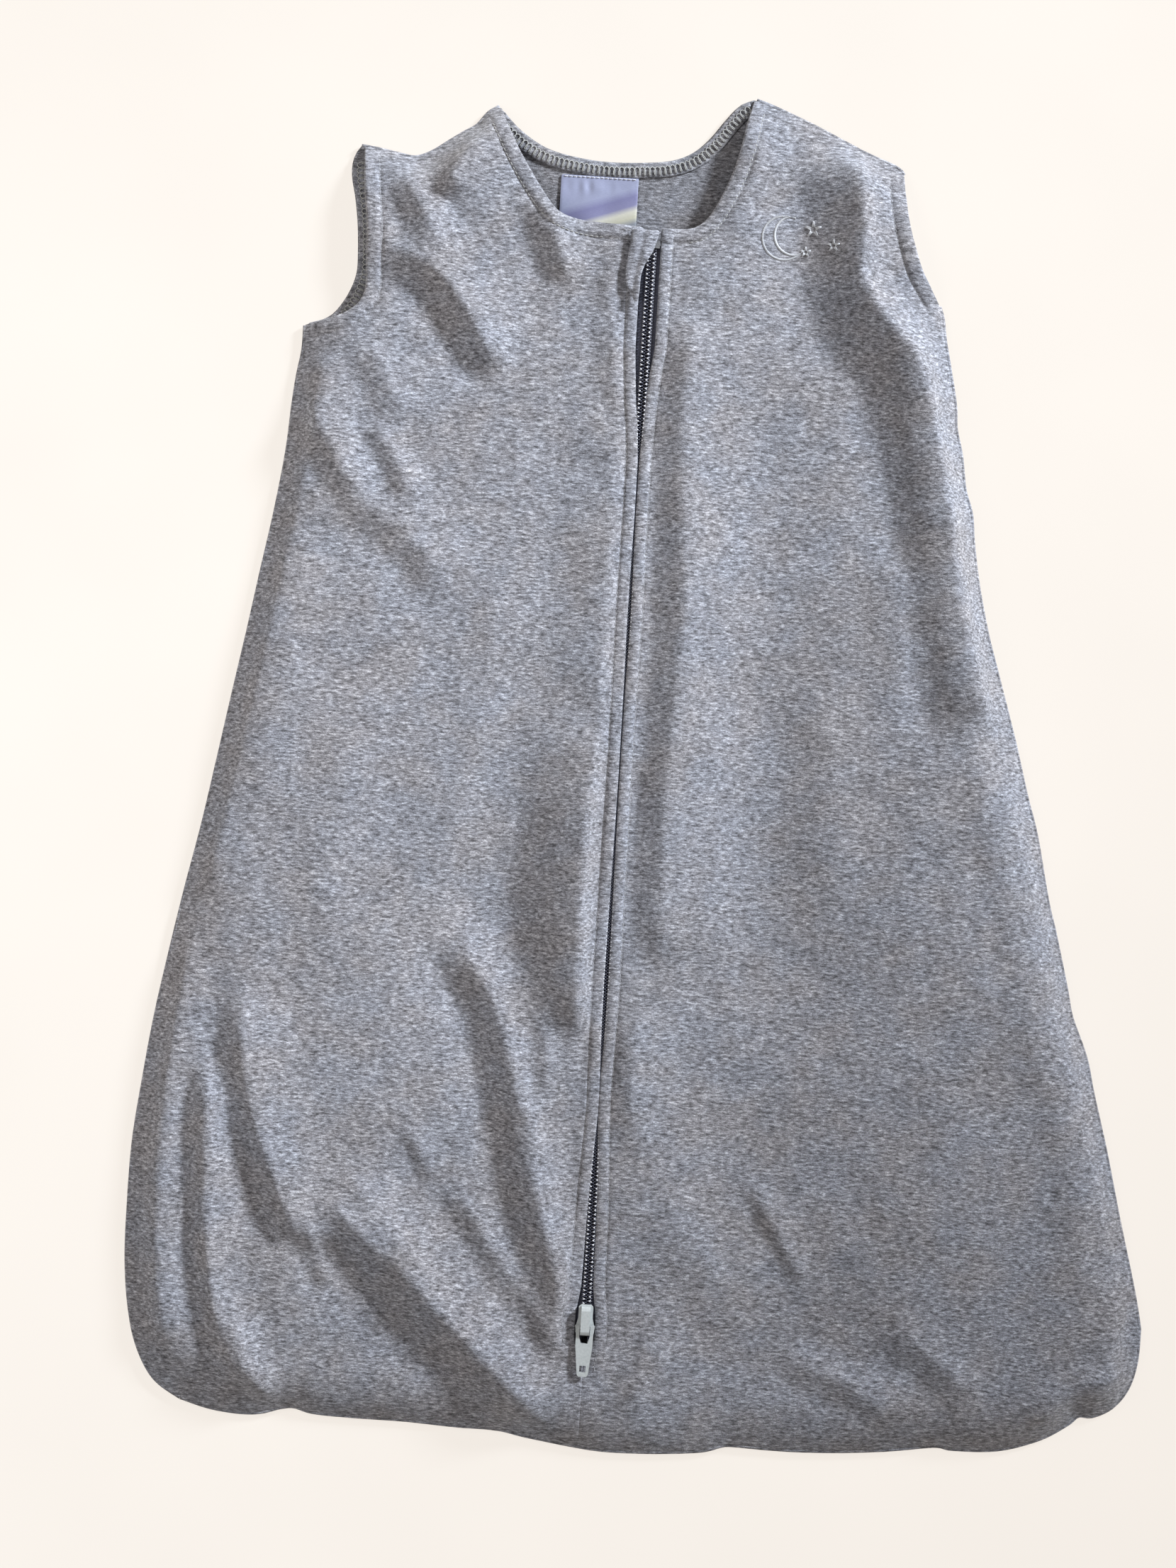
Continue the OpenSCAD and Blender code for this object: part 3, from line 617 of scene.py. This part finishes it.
def grained(name, grain, stops, strength, depth, **look):
    """One colour that varies with a fine grain, which also roughens the surface."""
    mat, tree, shader = node_material(name, **look)
    rows = noise_node(tree, *grain)
    shade = ramp(tree, rows.outputs["Fac"], stops)
    tree.links.new(shade.outputs["Color"], shader.inputs["Base Color"])
    bump(tree, shader, rows.outputs["Fac"], strength, depth)
    return mat


def thread_material(name, colour):
    stops = [(0.3, tuple(c * 0.72 for c in colour)), (0.7, tuple(min(1, c * 1.12) for c in colour))]
    return grained(name, (3500, EVEN, 1.0, 0.5), stops, 0.4, 0.0002, rough=0.75, specular=0.25, sheen=0.3)


def satin_material():
    """Label satin with one soft cream band and no lettering."""
    mat, tree, shader = node_material("label_satin_weave", rough=0.42, specular=0.4, sheen=0.2)
    coord = add(tree, "ShaderNodeTexCoord")
    split = add(tree, "ShaderNodeSeparateXYZ")
    tree.links.new(coord.outputs["Object"], split.inputs["Vector"])
    span = add(tree, "ShaderNodeMapRange")
    span.inputs["From Min"].default_value = LABEL_LOW[1] * MM
    span.inputs["From Max"].default_value = LABEL_HIGH[1] * MM
    slant = add(tree, "ShaderNodeMath", operation="MULTIPLY_ADD")
    slant.inputs[1].default_value = -0.35
    tree.links.new(split.outputs["X"], slant.inputs[0])
    tree.links.new(split.outputs["Y"], slant.inputs[2])
    tree.links.new(slant.outputs["Value"], span.inputs["Value"])
    band = ramp(tree, span.outputs["Result"], [
        (0.42, (0.25, 0.27, 0.31)), (0.52, (0.50, 0.49, 0.39)), (0.62, (0.55, 0.54, 0.47)),
        (0.72, (0.20, 0.20, 0.34)), (0.86, (0.17, 0.17, 0.31)), (1.00, (0.28, 0.30, 0.43))])
    weave = noise_node(tree, 4200, (6.0, 1.0, 1.0), 2.0, 0.5)
    shade = ramp(tree, weave.outputs["Fac"], [(0.3, (0.90, 0.90, 0.92)), (0.7, (1.0, 1.0, 1.0))])
    colour = multiply(tree, band.outputs["Color"], shade.outputs["Color"])
    tree.links.new(colour, shader.inputs["Base Color"])
    bump(tree, shader, weave.outputs["Fac"], 0.25, 0.0001)
    return mat


CLOTH = jersey("heather_jersey", 0.90)
# A darker copy of the same jersey for the inside of the back: painted shade, since the inside lies in shade
# under the front.
CLOTH_IN_SHADED = jersey("heather_jersey_inside_painted_shade", 0.72)
# A darker copy of the same jersey for the turned hems inside the back and the seam under the zip: painted
# shade.
HEM_CLOTH_SHADED = jersey("heather_jersey_hem_painted_shade", 0.80)
WHITE = thread_material("white_sewing_thread", (0.74, 0.74, 0.78))
GREY = thread_material("grey_sewing_thread", (0.30, 0.30, 0.32))
PALE = thread_material("pale_cover_thread", (0.40, 0.40, 0.39))
EMBROIDERY = thread_material("embroidery_thread", (0.56, 0.57, 0.60))
TAPE = grained("zip_tape_weave", (3200, (4.0, 1.0, 1.0), 2.0, 0.6),
               [(0.3, (0.050, 0.053, 0.078)), (0.7, (0.135, 0.140, 0.190))], 0.6, 0.0003,
               rough=0.8, specular=0.25, sheen=0.2)
COIL = grained("zip_coil_nylon", (1500, EVEN, 2.0, 0.5),
               [(0.3, (0.020, 0.021, 0.034)), (0.7, (0.050, 0.052, 0.078))], 0.2, 0.0001,
               rough=0.38, specular=0.5)
ENAMEL = grained("slider_enamel", (900, EVEN, 3.0, 0.6),
                 [(0.25, (0.44, 0.47, 0.475)), (0.75, (0.56, 0.59, 0.595))], 0.12, 0.0002,
                 rough=0.34, specular=0.5, coat=0.25)
METAL = grained("pressed_metal", (1800, EVEN, 3.0, 0.6),
                [(0.3, (0.20, 0.20, 0.21)), (0.7, (0.32, 0.32, 0.33))], 0.15, 0.0001,
                rough=0.62, metallic=1.0)
SATIN = satin_material()

# ---------------------------------------------------------------- front and back cloth
FINE = 2.0     # distance between the front cloth's points


def lip_path(side):
    """A front's edge along the center seam and the zip, from the hem to the neck."""
    y = np.concatenate([np.arange(C_HEM_Y + 1.0, SEAM_JOIN_Y, 6.0), np.arange(SEAM_JOIN_Y, ZIP_EDGE_TOP, 2.5),
                        [NECK_FRONT_LEFT[0][1]]])
    return np.column_stack([lip_x(y, side), y])


hem_left = C_HEM[C_HEM[:, 0] < -0.6]
hem_right = C_HEM[C_HEM[:, 0] > 0.6]
loop_left = np.vstack([
    lip_path(-1), C_NECK_LEFT[1:], C_SHOULDER_LEFT[1:-1], C_ARM_LEFT,
    C_SIDE_LEFT[1:], hem_left[1:]])
loop_right = np.vstack([
    lip_path(1), C_NECK_RIGHT[1:], C_SHOULDER_RIGHT[::-1][1:], C_ARM_RIGHT[::-1][1:],
    C_SIDE_RIGHT[::-1][1:], hem_right[::-1][1:]])


def feature_lines(side, neck, arm, spacing=2.0):
    """Rows of points that follow the zip's stitching and the turned hems."""
    zip_y = np.arange(SEAM_JOIN_Y + 2, ZIP_EDGE_TOP, spacing)
    rows = [np.column_stack([lip_x(zip_y, side) + side * d, zip_y])
            for d in (0.9, 2.0, 3.2, 4.3, 4.9, TOPSTITCH, 5.8, 6.6, 8.0)]
    hem = (1.2, 3.0, 4.8, HEM_W - 0.6, HEM_W, HEM_W + 0.6, HEM_W + 1.8)
    for path, inwards in ((neck, -side), (arm, 1)):
        rows += [beside(resample(path, spacing), inwards * d) for d in hem]
    return rows


front_left = cloth_sheet("front_cloth_left", loop_left, FINE, front_height, front_thickness, CLOTH,
                         lines=feature_lines(-1, C_NECK_LEFT, C_ARM_LEFT))
ride(front_left, "root", ["front_panel_left", "armhole_hem_front_left", "neck_hem_front_left"])
front_right = cloth_sheet("front_cloth_right", loop_right, FINE, front_height, front_thickness, CLOTH,
                          lines=feature_lines(1, C_NECK_RIGHT, C_ARM_RIGHT))
ride(front_right, "root",
     ["front_panel_right", "armhole_hem_front_right", "neck_hem_front_right"])

loop_back = np.vstack([
    C_SIDE_LEFT[::-1], C_ARM_BACK[::-1][1:], C_SHOULDER_LEFT[::-1][1:-1], C_NECK_BACK[::-1],
    C_SHOULDER_RIGHT[::-1][1:], C_ARM_RIGHT[::-1][1:], C_SIDE_RIGHT[::-1][1:], C_HEM[::-1][1:-1]])


def back_height(p):
    """Height of the back cloth's upper face over the floor."""
    closed = far_from(p, CLOSED)
    return BACK_TOP - 0.15 + 0.25 * (0.5 + 0.5 * noise(p, 16, 31)) * ease(closed / 10)


# The inside of the back takes the darker jersey copy, which is painted shade.
back = cloth_sheet("back_cloth", loop_back, 3.0, back_height, lambda p: back_height(p) - 0.02, CLOTH_IN_SHADED)
ride(back, "root", ["back_panel"])


# ---------------------------------------------------------------- outer seams
def seam_roll(name, path, nodes):
    """The rolled edge where front and back are sewn together and turned."""
    path = resample(path, 2.0)
    wobble = 0.12 * noise(path, 5, 44)
    points = np.column_stack([path, np.full(len(path), ROLL_Z) + wobble])
    roll = tube(name, points, ROLL_RADIUS, CLOTH, flatten=1.12)
    return ride(roll, "root", nodes)


seam_roll("side_roll_left", C_SIDE_LEFT, ["side_seam_left"])
seam_roll("side_roll_right", C_SIDE_RIGHT, ["side_seam_right"])
seam_roll("hem_roll", C_HEM, ["hem_seam"])
seam_roll("shoulder_roll_left", C_SHOULDER_LEFT, ["shoulder_seam_left"])
seam_roll("shoulder_roll_right", C_SHOULDER_RIGHT, ["shoulder_seam_right"])


# ---------------------------------------------------------------- turned hems of the back
def flat_band(name, path, nodes):
    """A turned hem lying on the inside of the back."""
    loop = np.vstack([beside(path, 0.4), beside(path, HEM_W)[::-1]])
    # The band takes the darker jersey copy, which is painted shade.
    band = cloth_sheet(name, loop, 1.6, lambda p: BACK_TOP + HEM_T + 0.12 * noise(p, 3, 9), HEM_T, HEM_CLOTH_SHADED)
    return ride(band, "root", nodes)


flat_band("neck_band_back", C_NECK_BACK[3:-3], ["neck_hem_back"])
flat_band("arm_band_back_left", C_ARM_BACK[6:-16], ["armhole_hem_back_left"])
flat_band("arm_band_back_right", C_ARM_RIGHT[6:-6], ["armhole_hem_back_right"])


def cover_stitch(name, path, half, nodes, pitch=2.5):
    """The looped thread of a coverstitch, leaning as it swings over a flat band."""
    steps = 8
    run = resample(path, pitch / steps)
    s = np.arange(len(run)) / steps
    d = np.gradient(run, axis=0)
    d /= np.linalg.norm(d, axis=1)[:, None]
    side = np.stack([-d[:, 1], d[:, 0]], axis=1)
    swing = half * np.sin(2 * np.pi * s)
    lean = 0.35 * pitch * np.cos(2 * np.pi * s)
    xy = run + side * swing[:, None] + d * lean[:, None]
    height = BACK_TOP + HEM_T + 0.38 + 0.16 * np.cos(4 * np.pi * s)
    piece = many_tubes(name, [np.column_stack([xy, height])], 0.24, PALE)
    return ride(piece, "root", nodes)


cover_stitch("neck_cover_stitch", beside(C_NECK_BACK[3:-3], 3.9), 2.2, ["neck_stitch_back"])
cover_stitch("arm_cover_stitch_left", beside(C_ARM_BACK[6:-16], 3.9), 2.0, [])


# ---------------------------------------------------------------- stitching on the front
def front_stitches(name, path, nodes, material=GREY, pitch=2.5):
    piece = stitches(name, on_front(path, 0.05), pitch, pitch * 0.72, 0.22, material)
    return ride(piece, "root", nodes)


front_stitches("neck_stitches_left", beside(C_NECK_LEFT[8:-4], 6.0), ["neck_stitch_front_left"], PALE)
front_stitches("neck_stitches_right", beside(C_NECK_RIGHT[8:-4], -6.0), ["neck_stitch_front_right"], PALE)
front_stitches("arm_stitches_left", beside(C_ARM_LEFT[4:-16], 6.3), ["armhole_stitch_left"])
front_stitches("arm_stitches_right", beside(C_ARM_RIGHT[5:-3], 6.5), ["armhole_stitch_right"])


def zip_row(side):
    """The line of the zip's topstitching."""
    y = np.arange(SEAM_JOIN_Y + 4, 262, 3.0)
    return np.column_stack([lip_x(y, side) + side * TOPSTITCH, y])


front_stitches("zip_stitches_left", zip_row(-1), ["zip_topstitch_left"])
front_stitches("zip_stitches_right", zip_row(1), ["zip_topstitch_right"])

# ---------------------------------------------------------------- center seam under the zip
seam_y = np.arange(C_HEM_Y + 1, SEAM_JOIN_Y + 3, 3.0)
seam_line = np.column_stack([np.zeros(len(seam_y)), seam_y])
seam_points = on_front(seam_line, -1.35)
# The seam takes the darker jersey copy, which is painted shade.
center = tube("center_seam_fold", seam_points, 0.95, HEM_CLOTH_SHADED)
ride(center, "root", ["center_seam"])


# ---------------------------------------------------------------- zip chain
def zip_tape(side, node):
    """One woven tape, with a raised band beside its coil and a bead along its outer edge."""
    low, high = box_mm(node)
    inner, outer = sorted((abs(low[0]), abs(high[0])))
    xs = side * np.array([inner, inner + 0.5, inner + 3.2, inner + 3.6, outer - 1.2, outer - 0.8, outer])
    lift = np.array([0.0, 0.12, 0.12, 0.0, 0.0, 0.14, 0.0])
    ys = np.arange(low[1], high[1], 4.0)
    top = [(x, y, high[2] - 0.14 + dz) for y in ys for x, dz in zip(xs, lift)]
    under = [(x, y, low[2]) for y in ys for x in xs]
    w, rows = len(xs), len(ys)
    base = len(top)
    faces = []
    for r in range(rows - 1):
        for c in range(w - 1):
            i = r * w + c
            faces += [(i, i + 1, i + 1 + w, i + w), (base + i, base + i + w, base + i + 1 + w, base + i + 1)]
        for c in (0, w - 1):
            i = r * w + c
            faces.append((i, i + w, base + i + w, base + i))
    for r in (0, rows - 1):
        for c in range(w - 1):
            i = r * w + c
            faces.append((i, i + 1, base + i + 1, base + i))
    obj = new_object(node.replace("zip_tape", "tape_weave"), top + under, faces, TAPE)
    make_normals_right(obj)
    return ride(obj, "root", [node])


def make_normals_right(obj):
    bm = bmesh.new()
    bm.from_mesh(obj.data)
    bmesh.ops.recalc_face_normals(bm, faces=bm.faces)
    bm.to_mesh(obj.data)
    bm.free()


zip_tape(-1, "zip_tape_left")
zip_tape(1, "zip_tape_right")

COIL_PITCH = 1.45
COIL_WIRE = 0.34        # radius
THROAT_Y = SLIDER_Y + 2.0
COIL_PART = 1.5         # how far each coil moves aside below the slider
THREAD_PITCH = 2.1
THREAD_RADIUS = 0.19


def coil_shift(y):
    """How far a coil stands aside from its closed place, inside and below the slider."""
    return COIL_PART * ease((THROAT_Y - y) / 4.0)


def coil_turns(side, node):
    """One coil: a row of flattened loops whose heads lock between those of the other coil."""
    ys = np.arange(CHAIN_LOW_Y + 0.8, CHAIN_TOP_Y - 0.8, COIL_PITCH) + (0.0 if side < 0 else COIL_PITCH / 2)
    mid = (COIL_LOW + COIL_HIGH) / 2
    half = (COIL_HIGH - COIL_LOW) / 2 - 0.36
    paths = []
    for y in ys:
        x0 = coil_shift(y)
        reach = [2.75, 1.4, 0.2, -0.12, 0.2, 1.4, 2.75]
        height = [half, half, half * 0.75, 0.0, -half * 0.75, -half, -half]
        slide = [0.0, 0.02, 0.04, 0.1, 0.2, 0.4, COIL_PITCH / 2]
        paths.append([(side * (x + x0), y + dy, mid + h) for x, h, dy in zip(reach, height, slide)])
    obj = many_tubes(node.replace("zip_coil", "coil_loops"), paths, COIL_WIRE, COIL, sides=7)
    return ride(obj, "root", [node])


coil_turns(-1, "zip_coil_left")
coil_turns(1, "zip_coil_right")


def coil_threads(side, node):
    """The chain stitches that hold a coil down: a row of pale arrowheads."""
    paths = []
    start = SLIDER_HIGH[1] + 1.0
    for y in np.arange(start, CHAIN_TOP_Y - 1.5, THREAD_PITCH):
        for lean in (-1, 1):
            x = side * (1.3 + np.array([0.6, 0.4, 0.05, -0.35]))
            along = y + 0.6 * side + lean * np.array([0.44, 0.28, 0.1, 0.0])
            z = COIL_HIGH + np.array([-0.35, -0.04, 0.0, -0.08])
            paths.append(np.column_stack([x, along, z]))
    obj = many_tubes(node.replace("coil_stitch", "coil_threads"), paths, THREAD_RADIUS, WHITE)
    return ride(obj, "root", [node])


coil_threads(-1, "coil_stitch_left")
coil_threads(1, "coil_stitch_right")


# ---------------------------------------------------------------- slider, on its CAD nodes
def finish_node(name, material, width, segments=3):
    """Material and rounded edges for a piece of the CAD model."""
    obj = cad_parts[name]
    obj.data.materials.clear()
    obj.data.materials.append(material)
    bevel = obj.modifiers.new("edge", "BEVEL")
    bevel.width = width * MM
    bevel.segments = segments
    bevel.limit_method = "ANGLE"
    bevel.angle_limit = math.radians(35)
    return obj


finish_node("slider_body", ENAMEL, 0.22)
finish_node("slider_crown", ENAMEL, 0.35)
finish_node("pull_tab", ENAMEL, 0.28)
finish_node("lock_pawl", METAL, 0.05, 1)
finish_node("zip_neck_stop", METAL, 0.15)
finish_node("zip_hem_stops", METAL, 0.25)


# ---------------------------------------------------------------- guard, label, embroidery
def guard_flap():
    """The folded flap over the neck end of the zip, as one creased sheet."""
    low, high = box_mm("zip_guard")
    outline = smooth([(-9, 266), (-10.4, 256), (-11.4, 246), (-10.6, 240), (-8.4, 236), (-6, 231.8),
                      (-5.2, 236), (-5.0, 244), (-3.6, 249), (0.6, 257), (3.2, 266)], 5)

    def height(p):
        across = (p[:, 0] - low[0]) / (high[0] - low[0])
        crease = np.exp(-((p[:, 0] + 9.2 - 0.16 * (p[:, 1] - 232)) / 1.6) ** 2)
        swell = 1.1 * np.sin(np.pi * np.clip(across, 0, 1))
        return low[2] + 1.5 + swell - 0.9 * crease + 0.25 * noise(p, 5, 17)

    flap = cloth_sheet("guard_flap", outline, 0.9, height, 1.2, CLOTH)
    return ride(flap, "guard", ["zip_guard"])


guard = guard_flap()
guard_row = np.column_stack([np.linspace(-14.6, -6, 6), np.full(6, 266.4)])
front_stitches("guard_stitches", guard_row, ["guard_stitch"], GREY, 2.0)


def label_cloth():
    """The neck label, gathered under its stitching and rippled below."""
    low, high = LABEL_LOW, LABEL_HIGH
    loop = np.array([(low[0], low[1]), (high[0], low[1]), (high[0], high[1] + 0.9), (low[0], high[1] + 0.9)])

    def height(p):
        t = (p[:, 0] - low[0]) / (high[0] - low[0])
        s = (high[1] - p[:, 1]) / (high[1] - low[1])
        gather = 0.4 * np.exp(-((s - 0.14) / 0.11) ** 2) * noise(p, 2.6, 23, (1.0, 4.0))
        ripple = 0.8 * np.sin(np.pi * t * 1.3) ** 2 + 0.4 * noise(p, 11, 2)
        return high[2] + 0.1 + ease(s * 2) * ease((1.05 - s) / 0.5) * ripple + gather

    obj = cloth_sheet("label_satin_tab", loop, 1.2, height, 0.32, SATIN, rim_steps=3)
    return ride(obj, "label", ["neck_label"])


label = label_cloth()
stitch_z = LABEL_HIGH[2] + 0.35
label_row = np.column_stack([np.linspace(LABEL_LOW[0] + 1, LABEL_HIGH[0] - 1, 12),
                             np.full(12, LABEL_HIGH[1] + 0.35), np.full(12, stitch_z)])
ride(stitches("label_stitches", label_row, 2.2, 1.6, 0.2, WHITE), "root", ["label_stitch"])


def satin_stitch(points_a, points_b):
    """Threads laid side by side from one edge to the other, on the front cloth."""
    paths = []
    for a, b in zip(points_a, points_b):
        line = np.linspace(a, b, 5)
        z = front_height(line) + np.array([-0.1, 0.28, 0.4, 0.28, -0.1])
        paths.append(np.column_stack([line, z]))
    return paths


def embroidery():
    """A crescent drawn as an outline, and three stars."""
    low, high = box_mm("chest_embroidery")
    r = (high[1] - low[1]) / 2
    middle = np.array([low[0] + r, (low[1] + high[1]) / 2])
    paths = []
    outer_angle = np.radians(np.linspace(62, 330, 120))
    outer = middle + r * np.column_stack([np.cos(outer_angle), np.sin(outer_angle)])
    bite, bite_r = middle + r * np.array([0.45, 0.15]), 0.82 * r
    to = outer - bite
    inner = bite + to / np.linalg.norm(to, axis=1)[:, None] * bite_r
    across = inner - outer
    span = np.linalg.norm(across, axis=1)[:, None]
    step = across / span * np.minimum(1.0, span / 2)
    paths += satin_stitch(outer, outer + step) + satin_stitch(inner - step, inner)
    for dx, dy, size in ((14, 5, 4), (24, -3, 3), (11, -6, 2.6)):
        spot = middle + np.array([dx, dy])
        for k in range(5):
            tip = math.radians(90 + 72 * k)
            for turn in (-0.5, -0.25, 0.0, 0.25, 0.5):
                foot = spot + 0.3 * size * np.array([math.cos(tip + turn * 1.2), math.sin(tip + turn * 1.2)])
                head = spot + size * np.array([math.cos(tip + turn * 0.12), math.sin(tip + turn * 0.12)])
                paths += satin_stitch([foot], [head])
    obj = many_tubes("moon_and_stars", paths, 0.17, EMBROIDERY, sides=5)
    return ride(obj, "root", ["chest_embroidery"])


embroidery()


def care_label():
    low, high = box_mm("care_label")
    loop = np.array([(low[0], low[1]), (high[0], low[1]), (high[0], high[1]), (low[0], high[1])])
    obj = cloth_sheet("care_label_satin", loop, 1.5, lambda p: high[2] + 0.1 * noise(p, 6, 3), 0.3, SATIN,
                      rim_steps=3)
    return ride(obj, "root", ["care_label"])


care = care_label()


# ---------------------------------------------------------------- floor, light, camera
def build_stage():
    """A pale floor that ends in pale walls far away."""
    reach, wall, low = 25000, 6000, -0.3
    corners = [(-reach, -reach), (reach, -reach), (reach, reach), (-reach, reach)]
    points = [(x, y, low) for x, y in corners] + [(x, y, wall) for x, y in corners]
    sides = [(k, k + 4, (k + 1) % 4 + 4, (k + 1) % 4) for k in range(4)]
    floor = new_object("floor", points, [(0, 1, 2, 3)] + sides, smooth_shade=False)
    mat, tree, shader = node_material("pale_floor", rough=0.9, specular=0.1)
    grain = noise_node(tree, 8, EVEN, 2.0, 0.5)
    shade = ramp(tree, grain.outputs["Fac"], [(0.3, (0.12, 0.117, 0.113)), (0.7, (0.14, 0.136, 0.131))])
    tree.links.new(shade.outputs["Color"], shader.inputs["Base Color"])
    shader.inputs["Emission Color"].default_value = (1.0, 0.935, 0.865, 1)
    shader.inputs["Emission Strength"].default_value = 0.83
    floor.data.materials.append(mat)


def add_light(kind, name, where, target, power, colour):
    """A light aimed at a point; returns its settings."""
    data = bpy.data.lights.new(name, kind)
    data.energy = power
    data.color = colour
    obj = bpy.data.objects.new(name, data)
    bpy.context.scene.collection.objects.link(obj)
    obj.location = where
    obj.rotation_euler = (Vector(target) - Vector(where)).to_track_quat("-Z", "Y").to_euler()
    return data


def build_light():
    """A low cool light from the upper right, which shows the folds, and a weak warm fill."""
    key = add_light("SPOT", "key", (2.85, 2.35, 1.58), (-0.16, 0.08, 0), 1620, (0.88, 0.94, 1.0))
    key.spot_size = math.radians(20)
    key.spot_blend = 1.0
    key.shadow_soft_size = 0.40
    fill = add_light("AREA", "fill", (-0.50, 0.12, 0.62), (-0.16, 0.05, 0), 2.4, (1.0, 0.98, 0.95))
    fill.shape = "DISK"
    fill.size = 0.5
    world = bpy.data.worlds.new("studio")
    world.use_nodes = True
    sky = world.node_tree.nodes["Background"].inputs
    sky["Color"].default_value = (1.0, 0.96, 0.93, 1)
    sky["Strength"].default_value = 0.235
    bpy.context.scene.world = world
    bpy.context.scene.view_settings.view_transform = "Standard"


def build_camera():
    """Straight above, as the bag was seen, turned 3.5 degrees."""
    distance, picture_height, sensor = 1.30, 0.763, 36.0
    data = bpy.data.cameras.new("camera")
    data.sensor_width = sensor
    data.lens = sensor / 2 / (picture_height / 2 / distance)
    camera = bpy.data.objects.new("camera", data)
    bpy.context.scene.collection.objects.link(camera)
    turn = math.radians(3.528)
    right = Vector((math.cos(turn), math.sin(turn), 0))
    up = Vector((-math.sin(turn), math.cos(turn), 0))
    back = Vector((0, 0, 1))
    aim = Vector((-0.0147, -0.0028, 0.006))
    facing = Matrix((right, up, back)).transposed().to_4x4()
    camera.matrix_world = Matrix.Translation(aim + back * distance) @ facing
    bpy.context.scene.camera = camera


build_stage()
build_light()
build_camera()
